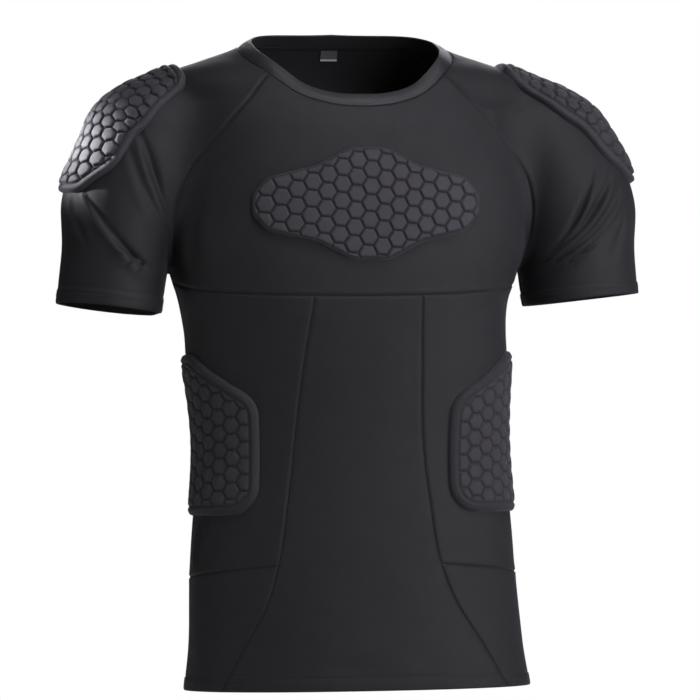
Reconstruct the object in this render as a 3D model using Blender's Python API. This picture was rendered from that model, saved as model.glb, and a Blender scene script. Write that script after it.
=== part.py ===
"""Padded short-sleeve compression shirt, filled out as if worn.

The wearer faces -Y, +X is the wearer's left and z = 0 is the height where the shoulders carry the cloth.
Every panel is a thin wall laid on one smooth worn form, and every pad is moulded flat and laid on its panel.
"""

import math

import bmesh
import bpy
import numpy as np
from mathutils import Vector
from mathutils.bvhtree import BVHTree
from mathutils.kdtree import KDTree
from mathutils.geometry import delaunay_2d_cdt

# Cloth
WALL = 0.0015
SEAM_GAP = 0.0004

# Level rings of the body, from the hem up. "square" is the ring's exponent, 2 for an ellipse.
BODY_COLUMNS = ("z", "half_width", "front_y", "side_y", "back_y", "square", "twist_deg")
BODY = (
    (-0.680, 0.184, -0.111, 0.000, 0.114, 2.25, -4.5),
    (-0.657, 0.182, -0.110, 0.000, 0.112, 2.25, -4.5),
    (-0.617, 0.176, -0.108, 0.000, 0.109, 2.25, -5.0),
    (-0.545, 0.1706, -0.104, 0.000, 0.103, 2.25, -6.0),
    (-0.480, 0.1655, -0.100, 0.000, 0.096, 2.25, -6.5),
    (-0.400, 0.159, -0.098, 0.000, 0.091, 2.25, -6.0),
    (-0.310, 0.166, -0.107, 0.000, 0.099, 2.3, -2.5),
    (-0.250, 0.1727, -0.116, 0.000, 0.108, 2.35, 0.0),
    (-0.229, 0.180, -0.118, 0.001, 0.111, 2.35, 0.0),
    (-0.205, 0.188, -0.119, 0.003, 0.114, 2.35, 0.0),
    (-0.150, 0.190, -0.117, 0.008, 0.117, 2.35, 0.0),
    (-0.100, 0.189, -0.108, 0.014, 0.119, 2.3, 0.0),
    (-0.046, 0.188, -0.085, 0.024, 0.116, 2.3, 0.0),
    (-0.004, 0.184, -0.045, 0.036, 0.108, 2.3, 0.0),
    (0.0065, 0.152, -0.026, 0.040, 0.104, 2.3, 0.0),
    (0.017, 0.118, -0.008, 0.044, 0.099, 2.3, 0.0),
    (0.028, 0.088, 0.008, 0.048, 0.092, 2.2, 0.0),
    (0.044, 0.060, 0.020, 0.052, 0.084, 2.2, 0.0),
)

# Level rings of one arm, from below the cuff up to the point of the shoulder
ARM_COLUMNS = ("z", "center_x", "center_y", "half_width", "half_depth")
ARM = (
    (-0.280, 0.2555, 0.000, 0.0585, 0.0600),
    (-0.250, 0.2513, 0.000, 0.0598, 0.0620),
    (-0.200, 0.2450, 0.002, 0.0620, 0.0650),
    (-0.150, 0.2365, 0.006, 0.0705, 0.0685),
    (-0.126, 0.2290, 0.009, 0.0715, 0.0690),
    (-0.085, 0.2140, 0.016, 0.0695, 0.0660),
    (-0.042, 0.1960, 0.026, 0.0610, 0.0560),
    (-0.023, 0.1850, 0.031, 0.0430, 0.0400),
    (-0.012, 0.1760, 0.034, 0.0260, 0.0240),
)
ARM_TOP = -0.012

# How softly the arm runs into the body
BLEND_COLUMNS = ("z", "radius")
BLEND = (
    (-0.300, 0.008),
    (-0.219, 0.008),
    (-0.150, 0.022),
    (-0.100, 0.034),
    (-0.060, 0.030),
    (-0.030, 0.016),
    (0.040, 0.012),
)

# Neck seam, a full oval in plan, and the band that stands on it
NECK_HALF_WIDTH = 0.114
NECK_FRONT_Y = -0.0905
NECK_MIDDLE_Y = 0.012
NECK_BACK_Y = 0.094
NECK_FULLNESS = 0.88  # 1 would be a plain ellipse
BAND_COLUMNS = ("turn_deg", "inward", "rise")
BAND = (
    (0.0, 0.0085, 0.0122),
    (35.0, 0.0102, 0.0105),
    (60.0, 0.0105, 0.0100),
    (90.0, 0.0135, 0.0070),
    (120.0, 0.0120, 0.0090),
    (150.0, 0.0105, 0.0105),
    (180.0, 0.0090, 0.0120),
)
BAND_WALL = 0.0022
BAND_SWELL = 0.0009
BAND_GAP = 0.0006

# Raglan seams from the underarm to the neck, as seen from the front and from the back
RAGLAN_COLUMNS = ("along", "x", "z")
RAGLAN_FRONT = (
    (0.00, 0.1865, -0.219),
    (0.16, 0.1885, -0.187),
    (0.34, 0.1880, -0.155),
    (0.52, 0.1770, -0.119),
    (0.73, 0.1450, -0.080),
    (1.00, 0.0910, -0.036),
)
RAGLAN_BACK = (
    (0.00, 0.1865, -0.219),
    (0.16, 0.1885, -0.187),
    (0.34, 0.1870, -0.155),
    (0.52, 0.1750, -0.116),
    (0.73, 0.1400, -0.067),
    (1.00, 0.0680, 0.008),
)
NECK_RAGLAN_FRONT_DEG = 53.0
NECK_RAGLAN_BACK_DEG = 140.0

# Middle of the sleeve from the cuff (-1) by the underarm (0) to the neck (1), with each section's tilt
SPINE_COLUMNS = ("along", "x", "y", "z", "tilt_deg")
SPINE = (
    (-1.00, 0.2520, 0.000, -0.2525, 5.5),
    (0.00, 0.2430, 0.003, -0.2050, 14.0),
    (0.25, 0.2270, 0.008, -0.1650, 32.0),
    (0.50, 0.2020, 0.018, -0.1200, 56.0),
    (0.75, 0.1650, 0.030, -0.0800, 84.0),
    (1.00, 0.1240, 0.038, -0.0480, 106.0),
)

# Seams of the lower body
HEM_Z = -0.657
CHEST_SEAM_MIDDLE_Z = -0.2525
CHEST_SEAM_SIDE_Z = -0.232
PRINCESS_COLUMNS = ("z", "turn_deg")
PRINCESS = (
    (-0.657, 65.0),
    (-0.612, 56.5),
    (-0.565, 46.5),
    (-0.528, 42.0),
    (-0.460, 38.3),
    (-0.381, 34.5),
    (-0.250, 26.5),
)
SIDE_SEAM_Z = -0.528
SIDE_SEAM_DROP = 0.012
BACK_SEAM_COLUMNS = ("z", "turn_deg")
BACK_SEAM = (
    (-0.657, 104.0),
    (-0.540, 108.0),
    (-0.420, 111.0),
    (-0.330, 107.0),
    (-0.270, 97.0),
    (-0.232, 90.0),
)

# Largest folds in the sleeves: a valley from one end to the other, with its half width and depth
FOLD_COLUMNS = ("node", "from_xyz", "to_xyz", "half_width", "depth")
FOLDS = (
    ("sleeve_left", (0.275, -0.045, -0.120), (0.222, -0.060, -0.205), 0.013, 0.0035),
    ("sleeve_left", (0.298, -0.020, -0.150), (0.240, -0.062, -0.228), 0.012, 0.0030),
    ("sleeve_left", (0.250, 0.070, -0.130), (0.205, 0.050, -0.200), 0.013, 0.0030),
    ("sleeve_right", (-0.215, -0.070, -0.105), (-0.200, -0.055, -0.185), 0.013, 0.0040),
    ("sleeve_right", (-0.295, -0.025, -0.145), (-0.235, -0.062, -0.222), 0.013, 0.0035),
    ("sleeve_right", (-0.255, 0.070, -0.125), (-0.210, 0.050, -0.205), 0.013, 0.0030),
)

# Panel divisions
CENTER_COLUMNS = 10
SIDE_COLUMNS = 10
BACK_COLUMNS = 14
SLEEVE_COLUMNS = 22
LOWER_ROWS = 5
WAIST_ROWS = 11
SIDE_ROWS = 1
RAGLAN_ROWS = 7
CUFF_ROWS = 4
BAND_ROWS = 2

# Pads: flat sizes and their raised six-sided cells. CELL_LEAST is the least share of a cell kept at the edge.
CELL_PITCH = 0.0172
CELL_SLOPE = 0.0016
CELL_LEAST = 0.34
CELL_CORNER = 0.0022
OUTLINE_STEP = 0.009
PAD_COLUMNS = ("gap", "border", "edge_height", "cell_rise", "turn_deg")
CHEST_PAD = dict(zip(PAD_COLUMNS, (0.0010, 0.0042, 0.0034, 0.0026, -4.5)))
SHOULDER_PAD = dict(zip(PAD_COLUMNS, (0.0021, 0.0085, 0.0043, 0.0030, 0.0)))
RIB_PAD = dict(zip(PAD_COLUMNS, (0.0012, 0.0100, 0.0048, 0.0030, 0.0)))
CHEST_PAD_Z = -0.158
OUTLINE_COLUMNS = ("a", "b", "corner_radius")
CHEST_OUTLINE_QUARTER = (
    (0.0200, 0.0580, 0.022),
    (0.0540, 0.0395, 0.050),
    (0.1040, 0.0275, 0.024),
    (0.1180, 0.0095, 0.014),
)
SHOULDER_OUTLINE_HALF = (
    (0.000, 0.036, 0.020),
    (0.075, 0.065, 0.080),
    (0.160, 0.056, 0.050),
    (0.198, 0.026, 0.026),
)
SHOULDER_PAD_AHEAD = {"left": 0.011, "right": 0.021}
SHOULDER_PAD_START_X = {"left": 0.170, "right": 0.180}
SHOULDER_RIDGE_RADIUS = 0.064
RIB_OUTLINE = (
    (-0.036, -0.4755, 0.012),
    (0.108, -0.4755, 0.028),
    (0.108, -0.358, 0.022),
    (0.030, -0.307, 0.020),
    (-0.036, -0.307, 0.010),
)
RIB_PAD_AHEAD = {"left": 0.0065, "right": -0.0030}

# Neck label, hung inside the back
LABEL_WIDTH = 0.018
LABEL_DROP = 0.012
LABEL_TOP = 0.003
LABEL_GAP = 0.0005
LABEL_THICK = 0.0010

# Materials: colour, roughness
MATERIALS = {
    "knit": ((0.020, 0.020, 0.022), 0.80),
    "band_knit": ((0.018, 0.018, 0.020), 0.62),
    "pad_knit": ((0.040, 0.038, 0.043), 0.66),
    "label_tape": ((0.090, 0.088, 0.086), 0.70),
}

SIDES = {"left": 1.0, "right": -1.0}


class Sections:
    """Sizes that run smoothly through the rows of a table, by its first column."""

    def __init__(self, columns, rows):
        values = np.array(rows, float)
        self.key = values[:, 0]
        self.value = {name: values[:, i] for i, name in enumerate(columns)}
        self.slope = {name: np.gradient(column, self.key) for name, column in self.value.items()}

    def at(self, name, key):
        key = np.clip(key, self.key[0], self.key[-1])
        i = np.clip(np.searchsorted(self.key, key, side="right") - 1, 0, len(self.key) - 2)
        span = self.key[i + 1] - self.key[i]
        t = (key - self.key[i]) / span
        v, m = self.value[name], self.slope[name]
        low = (2 * t**3 - 3 * t**2 + 1) * v[i] + (t**3 - 2 * t**2 + t) * span * m[i]
        return low + (3 * t**2 - 2 * t**3) * v[i + 1] + (t**3 - t**2) * span * m[i + 1]


body = Sections(BODY_COLUMNS, BODY)
arm = Sections(ARM_COLUMNS, ARM)
blend = Sections(BLEND_COLUMNS, BLEND)
band = Sections(BAND_COLUMNS, BAND)
spine = Sections(SPINE_COLUMNS, SPINE)
princess = Sections(PRINCESS_COLUMNS, PRINCESS)
back_seam = Sections(BACK_SEAM_COLUMNS, BACK_SEAM)
raglan = {"front": Sections(RAGLAN_COLUMNS, RAGLAN_FRONT), "back": Sections(RAGLAN_COLUMNS, RAGLAN_BACK)}


def unit(v):
    return v / np.maximum(np.linalg.norm(v, axis=-1, keepdims=True), 1e-12)


def body_reach(dx, dy, z):
    """Radius of the body's ring at height z in the level direction (dx, dy)."""
    n = body.at("square", z)
    side = body.at("side_y", z)
    depth = np.where(dy < 0, side - body.at("front_y", z), body.at("back_y", z) - side)
    return ((np.abs(dx) / body.at("half_width", z)) ** n + (np.abs(dy) / depth) ** n) ** (-1 / n)


def arm_reach(dx, dy, z):
    return ((dx / arm.at("half_width", z)) ** 2 + (dy / arm.at("half_depth", z)) ** 2) ** -0.5


def ring_distance(reach, x, y, z):
    """Near a ring's wall, the distance from it: below zero inside."""
    rho = np.hypot(x, y) + 1e-9
    dx, dy = x / rho, y / rho
    step = 0.001
    slope = (reach(dx, dy, z + step) - reach(dx, dy, z - step)) / (2 * step)
    return (rho - reach(dx, dy, z)) / np.sqrt(1 + slope**2)


def untwisted(x, y, z):
    """Level place in the body's own ring, its twist taken out."""
    twist = np.radians(body.at("twist_deg", z))
    y = y - body.at("side_y", z)
    return np.cos(twist) * x + np.sin(twist) * y, np.cos(twist) * y - np.sin(twist) * x


def form(p):
    """The worn form: below zero inside the filled-out shirt."""
    x, y, z = p[..., 0], p[..., 1], p[..., 2]
    trunk = ring_distance(body_reach, *untwisted(x, y, z), z)
    limb = ring_distance(arm_reach, np.abs(x) - arm.at("center_x", z), y - arm.at("center_y", z), z)
    limb = np.maximum(limb, z - ARM_TOP)
    k = blend.at("radius", z)
    near = np.maximum(k - np.abs(trunk - limb), 0) / k
    return np.minimum(trunk, limb) - near**2 * k / 4


def normals(p):
    """Outward directions of the form's wall."""
    step = 0.0003
    across = [form(p + step * axis) - form(p - step * axis) for axis in np.eye(3)]
    return unit(np.stack(across, axis=-1))


def cast(start, direction, reach=0.34, stride=0.002):
    """First way out of the form along each line."""
    start, direction = np.broadcast_arrays(np.asarray(start, float), np.asarray(direction, float))
    far = np.arange(1, int(reach / stride) + 1) * stride
    out = form(start[..., None, :] + far[:, None] * direction[..., None, :]) > 0
    high = far[np.argmax(out, axis=-1)]
    low = high - stride
    for _ in range(26):
        middle = (low + high) / 2
        outside = form(start + middle[..., None] * direction) > 0
        high = np.where(outside, middle, high)
        low = np.where(outside, low, middle)
    return start + high[..., None] * direction


def around(turn, z):
    """Points of the body at a turn from the front (towards +X) and a height."""
    turn, z = np.broadcast_arrays(np.asarray(turn, float), np.asarray(z, float))
    turn = turn + np.radians(body.at("twist_deg", z))
    start = np.stack([np.zeros_like(z), body.at("side_y", z), z], axis=-1)
    return cast(start, np.stack([np.sin(turn), -np.cos(turn), np.zeros_like(z)], axis=-1))


def chart(p):
    """Turn and height of points on the body."""
    x, y = untwisted(p[..., 0], p[..., 1], p[..., 2])
    return np.stack([np.arctan2(x, -y), p[..., 2]], axis=-1)


def underarm():
    """Lowest point where arm and body still touch, on the wearer's left."""
    x = np.linspace(0.150, 0.230, 400)
    low, high = -0.240, -0.190
    for _ in range(30):
        z = (low + high) / 2
        level = form(np.stack([x, np.full_like(x, body.at("side_y", z)), np.full_like(x, z)], axis=-1))
        parted = level[60:-60].max() > 0
        low, high = (z, high) if parted else (low, z)
    return np.array([x[60 + np.argmax(level[60:-60])], float(body.at("side_y", z)), high])


def neck_seam(turn):
    """Points of the neck seam at a turn from the front."""
    turn = np.asarray(turn, float)
    ahead = NECK_MIDDLE_Y - NECK_FRONT_Y
    behind = NECK_BACK_Y - NECK_MIDDLE_Y
    across, along = (np.sign(v) * np.abs(v) ** NECK_FULLNESS for v in (np.sin(turn), np.cos(turn)))
    y = NECK_MIDDLE_Y - along * np.where(along > 0, ahead, behind)
    start = np.stack([NECK_HALF_WIDTH * across, y, np.full_like(y, -0.110)], axis=-1)
    return cast(start, np.array([0.0, 0.0, 1.0]), reach=0.2)


def raglan_seam(which, along):
    """Points of one raglan seam on the wearer's left, from the underarm to the neck."""
    seam = raglan[which]
    ahead = which == "front"
    x, z = seam.at("x", along), seam.at("z", along)
    fade = np.clip(along / 0.12, 0, 1)
    x = fade * x + (1 - fade) * UNDERARM[0]
    z = z + (1 - fade) * (UNDERARM[2] - RAGLAN_FRONT[0][2])
    start = np.stack([x, np.full_like(x, UNDERARM[1]), z], axis=-1)
    points = cast(start, np.array([0.0, -1.0 if ahead else 1.0, 0.0]))
    points[0] = UNDERARM
    end = neck_seam(math.radians(NECK_RAGLAN_FRONT_DEG if ahead else NECK_RAGLAN_BACK_DEG))
    pull = np.clip((along - 0.6) / 0.4, 0, 1)[:, None] ** 2
    points = points + pull * (end - points[-1])
    turned = chart(points)
    settled = around(turned[:, 0], turned[:, 1])
    points = np.where((along > 0.6)[:, None], settled, points)
    points[-1] = end
    return points


def chest_seam_z(turn):
    rise = CHEST_SEAM_SIDE_Z - CHEST_SEAM_MIDDLE_Z
    return CHEST_SEAM_MIDDLE_Z + rise * (np.abs(turn) / (math.pi / 2)) ** 3


def coons(bottom, top, left, right, u, v):
    """Fills a four-sided patch from its edges, in whatever terms they are given."""
    u, v = u[None, :, None], v[:, None, None]
    ruled = (1 - v) * bottom[None] + v * top[None] + (1 - u) * left[:, None] + u * right[:, None]
    low = (1 - u) * bottom[0] + u * bottom[-1]
    high = (1 - u) * top[0] + u * top[-1]
    return ruled - (1 - v) * low - v * high


def mirrored(p):
    return p * np.array([-1.0, 1.0, 1.0])


def trimmed(grid, facing):
    """Draws a panel's edges in by half the seam gap."""
    moved = grid.copy()
    across = grid.swapaxes(0, 1), facing.swapaxes(0, 1), moved.swapaxes(0, 1)
    for points, out, drawn in ((grid, facing, moved), across):
        for edge, inner in ((0, 1), (-1, -2)):
            along = unit(np.gradient(points[edge], axis=0))
            inward = unit(np.cross(out[edge], along))
            toward = np.sum(inward * (points[inner] - points[edge]), axis=-1, keepdims=True)
            drawn[edge] += inward * np.sign(toward) * SEAM_GAP / 2
    return moved


def grid_faces(rows, columns, first=0):
    """Triangles of a grid of points, row by row."""
    faces = []
    for r in range(rows - 1):
        for c in range(columns - 1):
            here = first + r * columns + c
            above = here + columns
            faces += [(here, here + 1, above + 1), (here, above + 1, above)]
    return faces


def slab(name, outer, inner, material):
    """A thin wall between two grids of points, closed round its edge."""
    rows, columns = outer.shape[:2]
    count = rows * columns
    rim = list(range(columns))
    rim += [r * columns + columns - 1 for r in range(1, rows)]
    rim += [(rows - 1) * columns + c for c in range(columns - 2, -1, -1)]
    rim += [r * columns for r in range(rows - 2, 0, -1)]
    faces = grid_faces(rows, columns)
    faces += [tuple(reversed(face)) for face in grid_faces(rows, columns, count)]
    faces += [(rim[i], rim[i - 1], count + rim[i - 1], count + rim[i]) for i in range(len(rim))]
    bm = bmesh.new()
    points = [bm.verts.new(p) for p in np.concatenate([outer.reshape(-1, 3), inner.reshape(-1, 3)])]
    for face in faces:
        bm.faces.new([points[i] for i in face])
    return finished(name, bm, material)


def hoop(name, loops, material):
    """A closed ring whose cross-section is the list of loops."""
    bm = bmesh.new()
    rings = [[bm.verts.new(p) for p in loop] for loop in loops]
    for ring, after in zip(rings, rings[1:] + rings[:1]):
        for i in range(len(ring)):
            bm.faces.new((ring[i - 1], ring[i], after[i], after[i - 1]))
    return finished(name, bm, material)


def finished(name, bm, material):
    bmesh.ops.recalc_face_normals(bm, faces=bm.faces[:])
    if bm.calc_volume(signed=True) < 0:
        bmesh.ops.reverse_faces(bm, faces=bm.faces[:])
    mesh = bpy.data.meshes.new(name)
    bm.to_mesh(mesh)
    bm.free()
    mesh.materials.append(surfaces[material])
    obj = bpy.data.objects.new(name, mesh)
    shirt.objects.link(obj)
    return obj


def folded(name, grid, facing):
    """Presses the panel's largest folds into its points."""
    depth = np.zeros(grid.shape[:2])
    for row in FOLDS:
        fold = dict(zip(FOLD_COLUMNS, row))
        if fold["node"] != name:
            continue
        start, end = np.array(fold["from_xyz"]), np.array(fold["to_xyz"])
        run = end - start
        t = np.clip((grid - start) @ run / (run @ run), 0, 1)
        away = np.linalg.norm(grid - start - t[..., None] * run, axis=-1)
        ends = np.sin(math.pi * (0.12 + 0.76 * t))
        depth += fold["depth"] * ends * np.exp(-((away / fold["half_width"]) ** 2))
    border = np.ones(grid.shape[:2])
    border[0] = border[-1] = 0
    border[:, 0] = border[:, -1] = 0
    return grid - (depth * border)[..., None] * facing


def panel(name, grid, between=()):
    """Cuts and lays one cloth panel. The rows "between" meet their seams midway between two shared points."""
    facing = normals(grid)
    outer = folded(name, trimmed(grid, facing), facing)
    inner = outer - WALL * facing
    for points in (outer, inner):
        for row in between:
            points[row, [0, -1]] = (points[row - 1, [0, -1]] + points[row + 1, [0, -1]]) / 2
    slab(name, outer, inner, "knit")
    points = outer.reshape(-1, 3)
    cloth[name] = (BVHTree.FromPolygons(points.tolist(), grid_faces(*outer.shape[:2])), points)
    return inner


# Shared seam lines
UNDERARM = underarm()
shared_along = np.linspace(0, 1, RAGLAN_ROWS + 1)
raglan_front = raglan_seam("front", shared_along)
raglan_back = raglan_seam("back", shared_along)
side_line = around(math.pi / 2, np.linspace(CHEST_SEAM_SIDE_Z, UNDERARM[2], SIDE_ROWS + 1)[:-1])


def lower_heights(princess_turn_top):
    """Heights of the lower body's rows at the princess seam, hem to chest seam."""
    top = chest_seam_z(princess_turn_top)
    low = np.linspace(HEM_Z, SIDE_SEAM_Z, LOWER_ROWS + 1)
    return np.concatenate([low, np.linspace(SIDE_SEAM_Z, top, WAIST_ROWS + 1)[1:]])


princess_top = math.radians(PRINCESS[-1][1])
row_z = lower_heights(princess_top)
row_princess = np.radians(princess.at("turn_deg", row_z))
row_princess[-1] = princess_top


def row_height(row, turn):
    """Height of a lower-body row as it runs round the body."""
    z = row_z[row]
    rise = np.clip((z - SIDE_SEAM_Z) / (row_z[-1] - SIDE_SEAM_Z), 0, 1) ** 3
    slant = np.clip(1 - abs(z - SIDE_SEAM_Z) / 0.11, 0, 1)
    drop = SIDE_SEAM_DROP * np.clip((np.abs(turn) - row_princess[row]) / 0.9, 0, 1)
    top = chest_seam_z(np.minimum(np.abs(turn), math.pi / 2))
    return z + rise * (top - chest_seam_z(princess_top)) - slant * drop


def front_center():
    grid = []
    for row, edge in enumerate(row_princess):
        turn = np.linspace(-edge, edge, CENTER_COLUMNS + 1)
        grid.append(around(turn, row_height(row, turn)))
    panel("front_center", np.array(grid))


def back_edge_turn(row):
    z = row_z[row]
    for _ in range(4):
        turn = math.radians(float(back_seam.at("turn_deg", z)))
        z = float(row_height(row, turn))
    return turn


row_back = [back_edge_turn(row) for row in range(len(row_z))]
row_back[-1] = math.pi / 2


def side_turns(first, last):
    """Columns of a side panel, closer where the body turns faster."""
    t = np.linspace(0, 1, SIDE_COLUMNS + 1)
    return first + (last - first) * (1.45 * t - 0.45 * t**2)


def side_panels(side, sign):
    grid = []
    for row, edge in enumerate(row_princess):
        turn = side_turns(edge, row_back[row])
        grid.append(around(sign * turn, row_height(row, turn)))
    grid = np.array(grid)
    panel("side_lower_" + side, grid[: LOWER_ROWS + 1])
    panel("side_upper_" + side, grid[LOWER_ROWS:])


def upper_patch(bottom_turn, bottom_z, seam, neck_turn):
    """Upper body panel in turn and height, between its bottom row, its raglan edges and the neck."""
    edge = chart(np.concatenate([side_line, seam]))
    behind = neck_turn[0] > math.pi / 2
    if behind:
        edge[:, 0] = math.pi - edge[:, 0]
    top = chart(neck_seam(neck_turn))
    if behind:
        top[:, 0] = np.where(top[:, 0] < 0, top[:, 0] + 2 * math.pi, top[:, 0]) - math.pi
        top[:, 0] = np.sort(top[:, 0])
    mirror_edge = edge * np.array([-1.0, 1.0])
    bottom = np.stack([bottom_turn, bottom_z], axis=-1)
    u = (bottom_turn - bottom_turn[0]) / (bottom_turn[-1] - bottom_turn[0])
    v = np.linspace(0, 1, len(edge))
    patch = coons(bottom, top, mirror_edge, edge, u, v)
    turn = math.pi - patch[..., 0] if behind else patch[..., 0]
    points = around(turn, patch[..., 1])
    points[:, -1] = np.concatenate([side_line, seam])
    points[:, 0] = mirrored(points[:, -1])
    return points


def chest_turns():
    side = side_turns(row_princess[-1], math.pi / 2)
    middle = np.linspace(-row_princess[-1], row_princess[-1], CENTER_COLUMNS + 1)
    return np.concatenate([-side[::-1], middle[1:-1], side])


def front_chest():
    turn = chest_turns()
    share = (turn - turn[0]) / (turn[-1] - turn[0])
    limit = math.radians(NECK_RAGLAN_FRONT_DEG)
    neck_turn = -limit + 2 * limit * share
    points = upper_patch(turn, chest_seam_z(turn), raglan_front, neck_turn)
    points[-1] = neck_seam(neck_turn)
    panel("front_chest", points)
    return points[-1]


def back():
    lower = []
    for row, edge in enumerate(row_back):
        turn = np.linspace(edge, 2 * math.pi - edge, BACK_COLUMNS + 1)
        lower.append(around(turn, np.full_like(turn, row_height(row, edge))))
    turn = np.linspace(-math.pi / 2, math.pi / 2, BACK_COLUMNS + 1)
    limit = math.radians(NECK_RAGLAN_BACK_DEG)
    neck_turn = np.linspace(2 * math.pi - limit, limit, BACK_COLUMNS + 1)
    upper = upper_patch(turn, np.full_like(turn, CHEST_SEAM_SIDE_Z), raglan_back, neck_turn)
    upper[-1] = neck_seam(neck_turn)
    grid = np.concatenate([np.array(lower)[:-1], upper[:, ::-1]])
    return upper[-1], panel("back", grid)


def sleeve_frame(along):
    tilt = np.radians(spine.at("tilt_deg", along))
    middle = np.array([float(spine.at(name, along)) for name in "xyz"])
    ahead = np.array([0.0, -1.0, 0.0])
    outward = np.array([math.cos(tilt), 0.0, math.sin(tilt)])
    upward = np.array([-math.sin(tilt), 0.0, math.cos(tilt)])
    return middle, ahead, outward, upward


def sleeve_polar(p, frame):
    """Turn about the sleeve's middle (0 outward, + to the front) and offset along it."""
    middle, ahead, outward, upward = frame
    d = p - middle
    return np.stack([np.arctan2(d @ ahead, d @ outward), d @ upward], axis=-1)


def sleeve_points(polar, frame):
    middle, ahead, outward, upward = frame
    start = middle + polar[:, 1:] * upward
    return cast(start, np.cos(polar[:, :1]) * outward + np.sin(polar[:, :1]) * ahead)


def halved(line):
    """The points of a seam with the middle of each step between them."""
    points = np.zeros((2 * len(line) - 1, 3))
    points[::2] = line
    points[1::2] = (line[1:] + line[:-1]) / 2
    return points


def sleeve_grid():
    share = np.linspace(0, 1, SLEEVE_COLUMNS + 1)
    neck_turn = np.radians(NECK_RAGLAN_FRONT_DEG + (NECK_RAGLAN_BACK_DEG - NECK_RAGLAN_FRONT_DEG) * share)
    neck = neck_seam(neck_turn)
    end = sleeve_polar(neck, sleeve_frame(1.0))
    end_bow = end - (1 - share)[:, None] * end[0] - share[:, None] * end[-1]
    grid = []
    for along in np.linspace(-1, 0, CUFF_ROWS + 1)[:-1]:
        turn = np.linspace(math.pi, -math.pi, SLEEVE_COLUMNS + 1)
        grid.append(sleeve_points(np.stack([turn, np.zeros_like(turn)], axis=-1), sleeve_frame(along)))
    front_edge, back_edge = halved(raglan_front), halved(raglan_back)
    for row, along in enumerate(np.linspace(0, 1, 2 * RAGLAN_ROWS + 1)):
        frame = sleeve_frame(along)
        first = sleeve_polar(front_edge[row], frame)
        last = sleeve_polar(back_edge[row], frame)
        first[0] += 2 * math.pi * (first[0] < 0)
        last[0] -= 2 * math.pi * (last[0] > 0)
        polar = (1 - share)[:, None] * first + share[:, None] * last
        polar = polar + end_bow * np.clip((along - 0.45) / 0.55, 0, 1) ** 2
        points = sleeve_points(polar, frame)
        points[0], points[-1] = front_edge[row], back_edge[row]
        grid.append(points)
    grid[-1] = neck
    return np.array(grid)


def neckband(seam):
    """A doubled band standing on the neck seam and leaning in."""
    turn = np.abs(np.arctan2(seam[:, 0], NECK_MIDDLE_Y - seam[:, 1]))
    out = unit((seam - np.array([0.0, NECK_MIDDLE_Y, 0.0])) * np.array([1.0, 1.0, 0.0]))
    inward = band.at("inward", np.degrees(turn))[:, None]
    rise = band.at("rise", np.degrees(turn))[:, None]
    run = unit(-inward * out + rise * np.array([0.0, 0.0, 1.0]))
    face = unit(rise * out + inward * np.array([0.0, 0.0, 1.0]))
    length = np.hypot(inward, rise)
    foot = seam + run * BAND_GAP
    outside = []
    for t in np.linspace(0, 1, BAND_ROWS + 1):
        outside.append(foot + run * length * t + face * BAND_SWELL * math.sin(math.pi * t))
    inside = [loop - face * BAND_WALL for loop in (outside[-1], outside[0])]
    hoop("neckband", outside + inside, "band_knit")


def rounded(corners, step):
    """A closed outline through corners with their own radii, in steps of about one length."""
    rows = [dict(zip(OUTLINE_COLUMNS, row)) for row in corners]
    corner = np.array([(row["a"], row["b"]) for row in rows])
    radius = [row["corner_radius"] for row in rows]
    count = len(rows)
    points = []
    for i in range(count):
        before, here, after = corner[i - 1], corner[i], corner[(i + 1) % count]
        into, out = unit(here - before), unit(after - here)
        turn = math.atan2(into[0] * out[1] - into[1] * out[0], into @ out)
        most = 0.499 * min(np.linalg.norm(here - before), np.linalg.norm(after - here))
        cut = min(radius[i] * math.tan(abs(turn) / 2), most)
        r = cut / math.tan(abs(turn) / 2)
        side = np.array([-into[1], into[0]]) * math.copysign(1, turn)
        middle = here - into * cut + side * r
        pieces = max(1, round(r * abs(turn) / step))
        for k in range(pieces + 1):
            c, s = math.cos(turn * k / pieces), math.sin(turn * k / pieces)
            spoke = -side * r
            points.append(middle + np.array([c * spoke[0] - s * spoke[1], s * spoke[0] + c * spoke[1]]))
    filled = []
    for i, here in enumerate(points):
        after = points[(i + 1) % len(points)]
        gap = np.linalg.norm(after - here)
        if gap < 0.25 * step:
            continue
        pieces = max(1, round(gap / step))
        filled += [here + (after - here) * k / pieces for k in range(pieces)]
    return np.array(filled)


def drawn_in(outline, distance):
    """The outline moved towards its inside."""
    along = unit(np.roll(outline, -1, axis=0) - np.roll(outline, 1, axis=0))
    area = np.sum(outline[:, 0] * np.roll(outline[:, 1], -1) - outline[:, 1] * np.roll(outline[:, 0], -1))
    return outline + distance * math.copysign(1, area) * np.stack([-along[:, 1], along[:, 0]], axis=-1)


def clipped(shape, hexagon):
    """The part of a flat shape inside a six-sided cell."""
    kept = list(shape)
    for i in range(6):
        start, end = hexagon[i], hexagon[(i + 1) % 6]
        inward = np.array([start[1] - end[1], end[0] - start[0]])
        level = [(p - start) @ inward for p in kept]
        cut = []
        for k, p in enumerate(kept):
            q = kept[k - 1]
            if (level[k] > 0) != (level[k - 1] > 0):
                cut.append(q + (p - q) * level[k - 1] / (level[k - 1] - level[k]))
            if level[k] > 0:
                cut.append(p)
        kept = cut
        if not kept:
            return []
    return kept


def flat_area(points):
    x, y = np.array(points).T
    return 0.5 * abs(np.sum(x * np.roll(y, -1) - y * np.roll(x, -1)))


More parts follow.
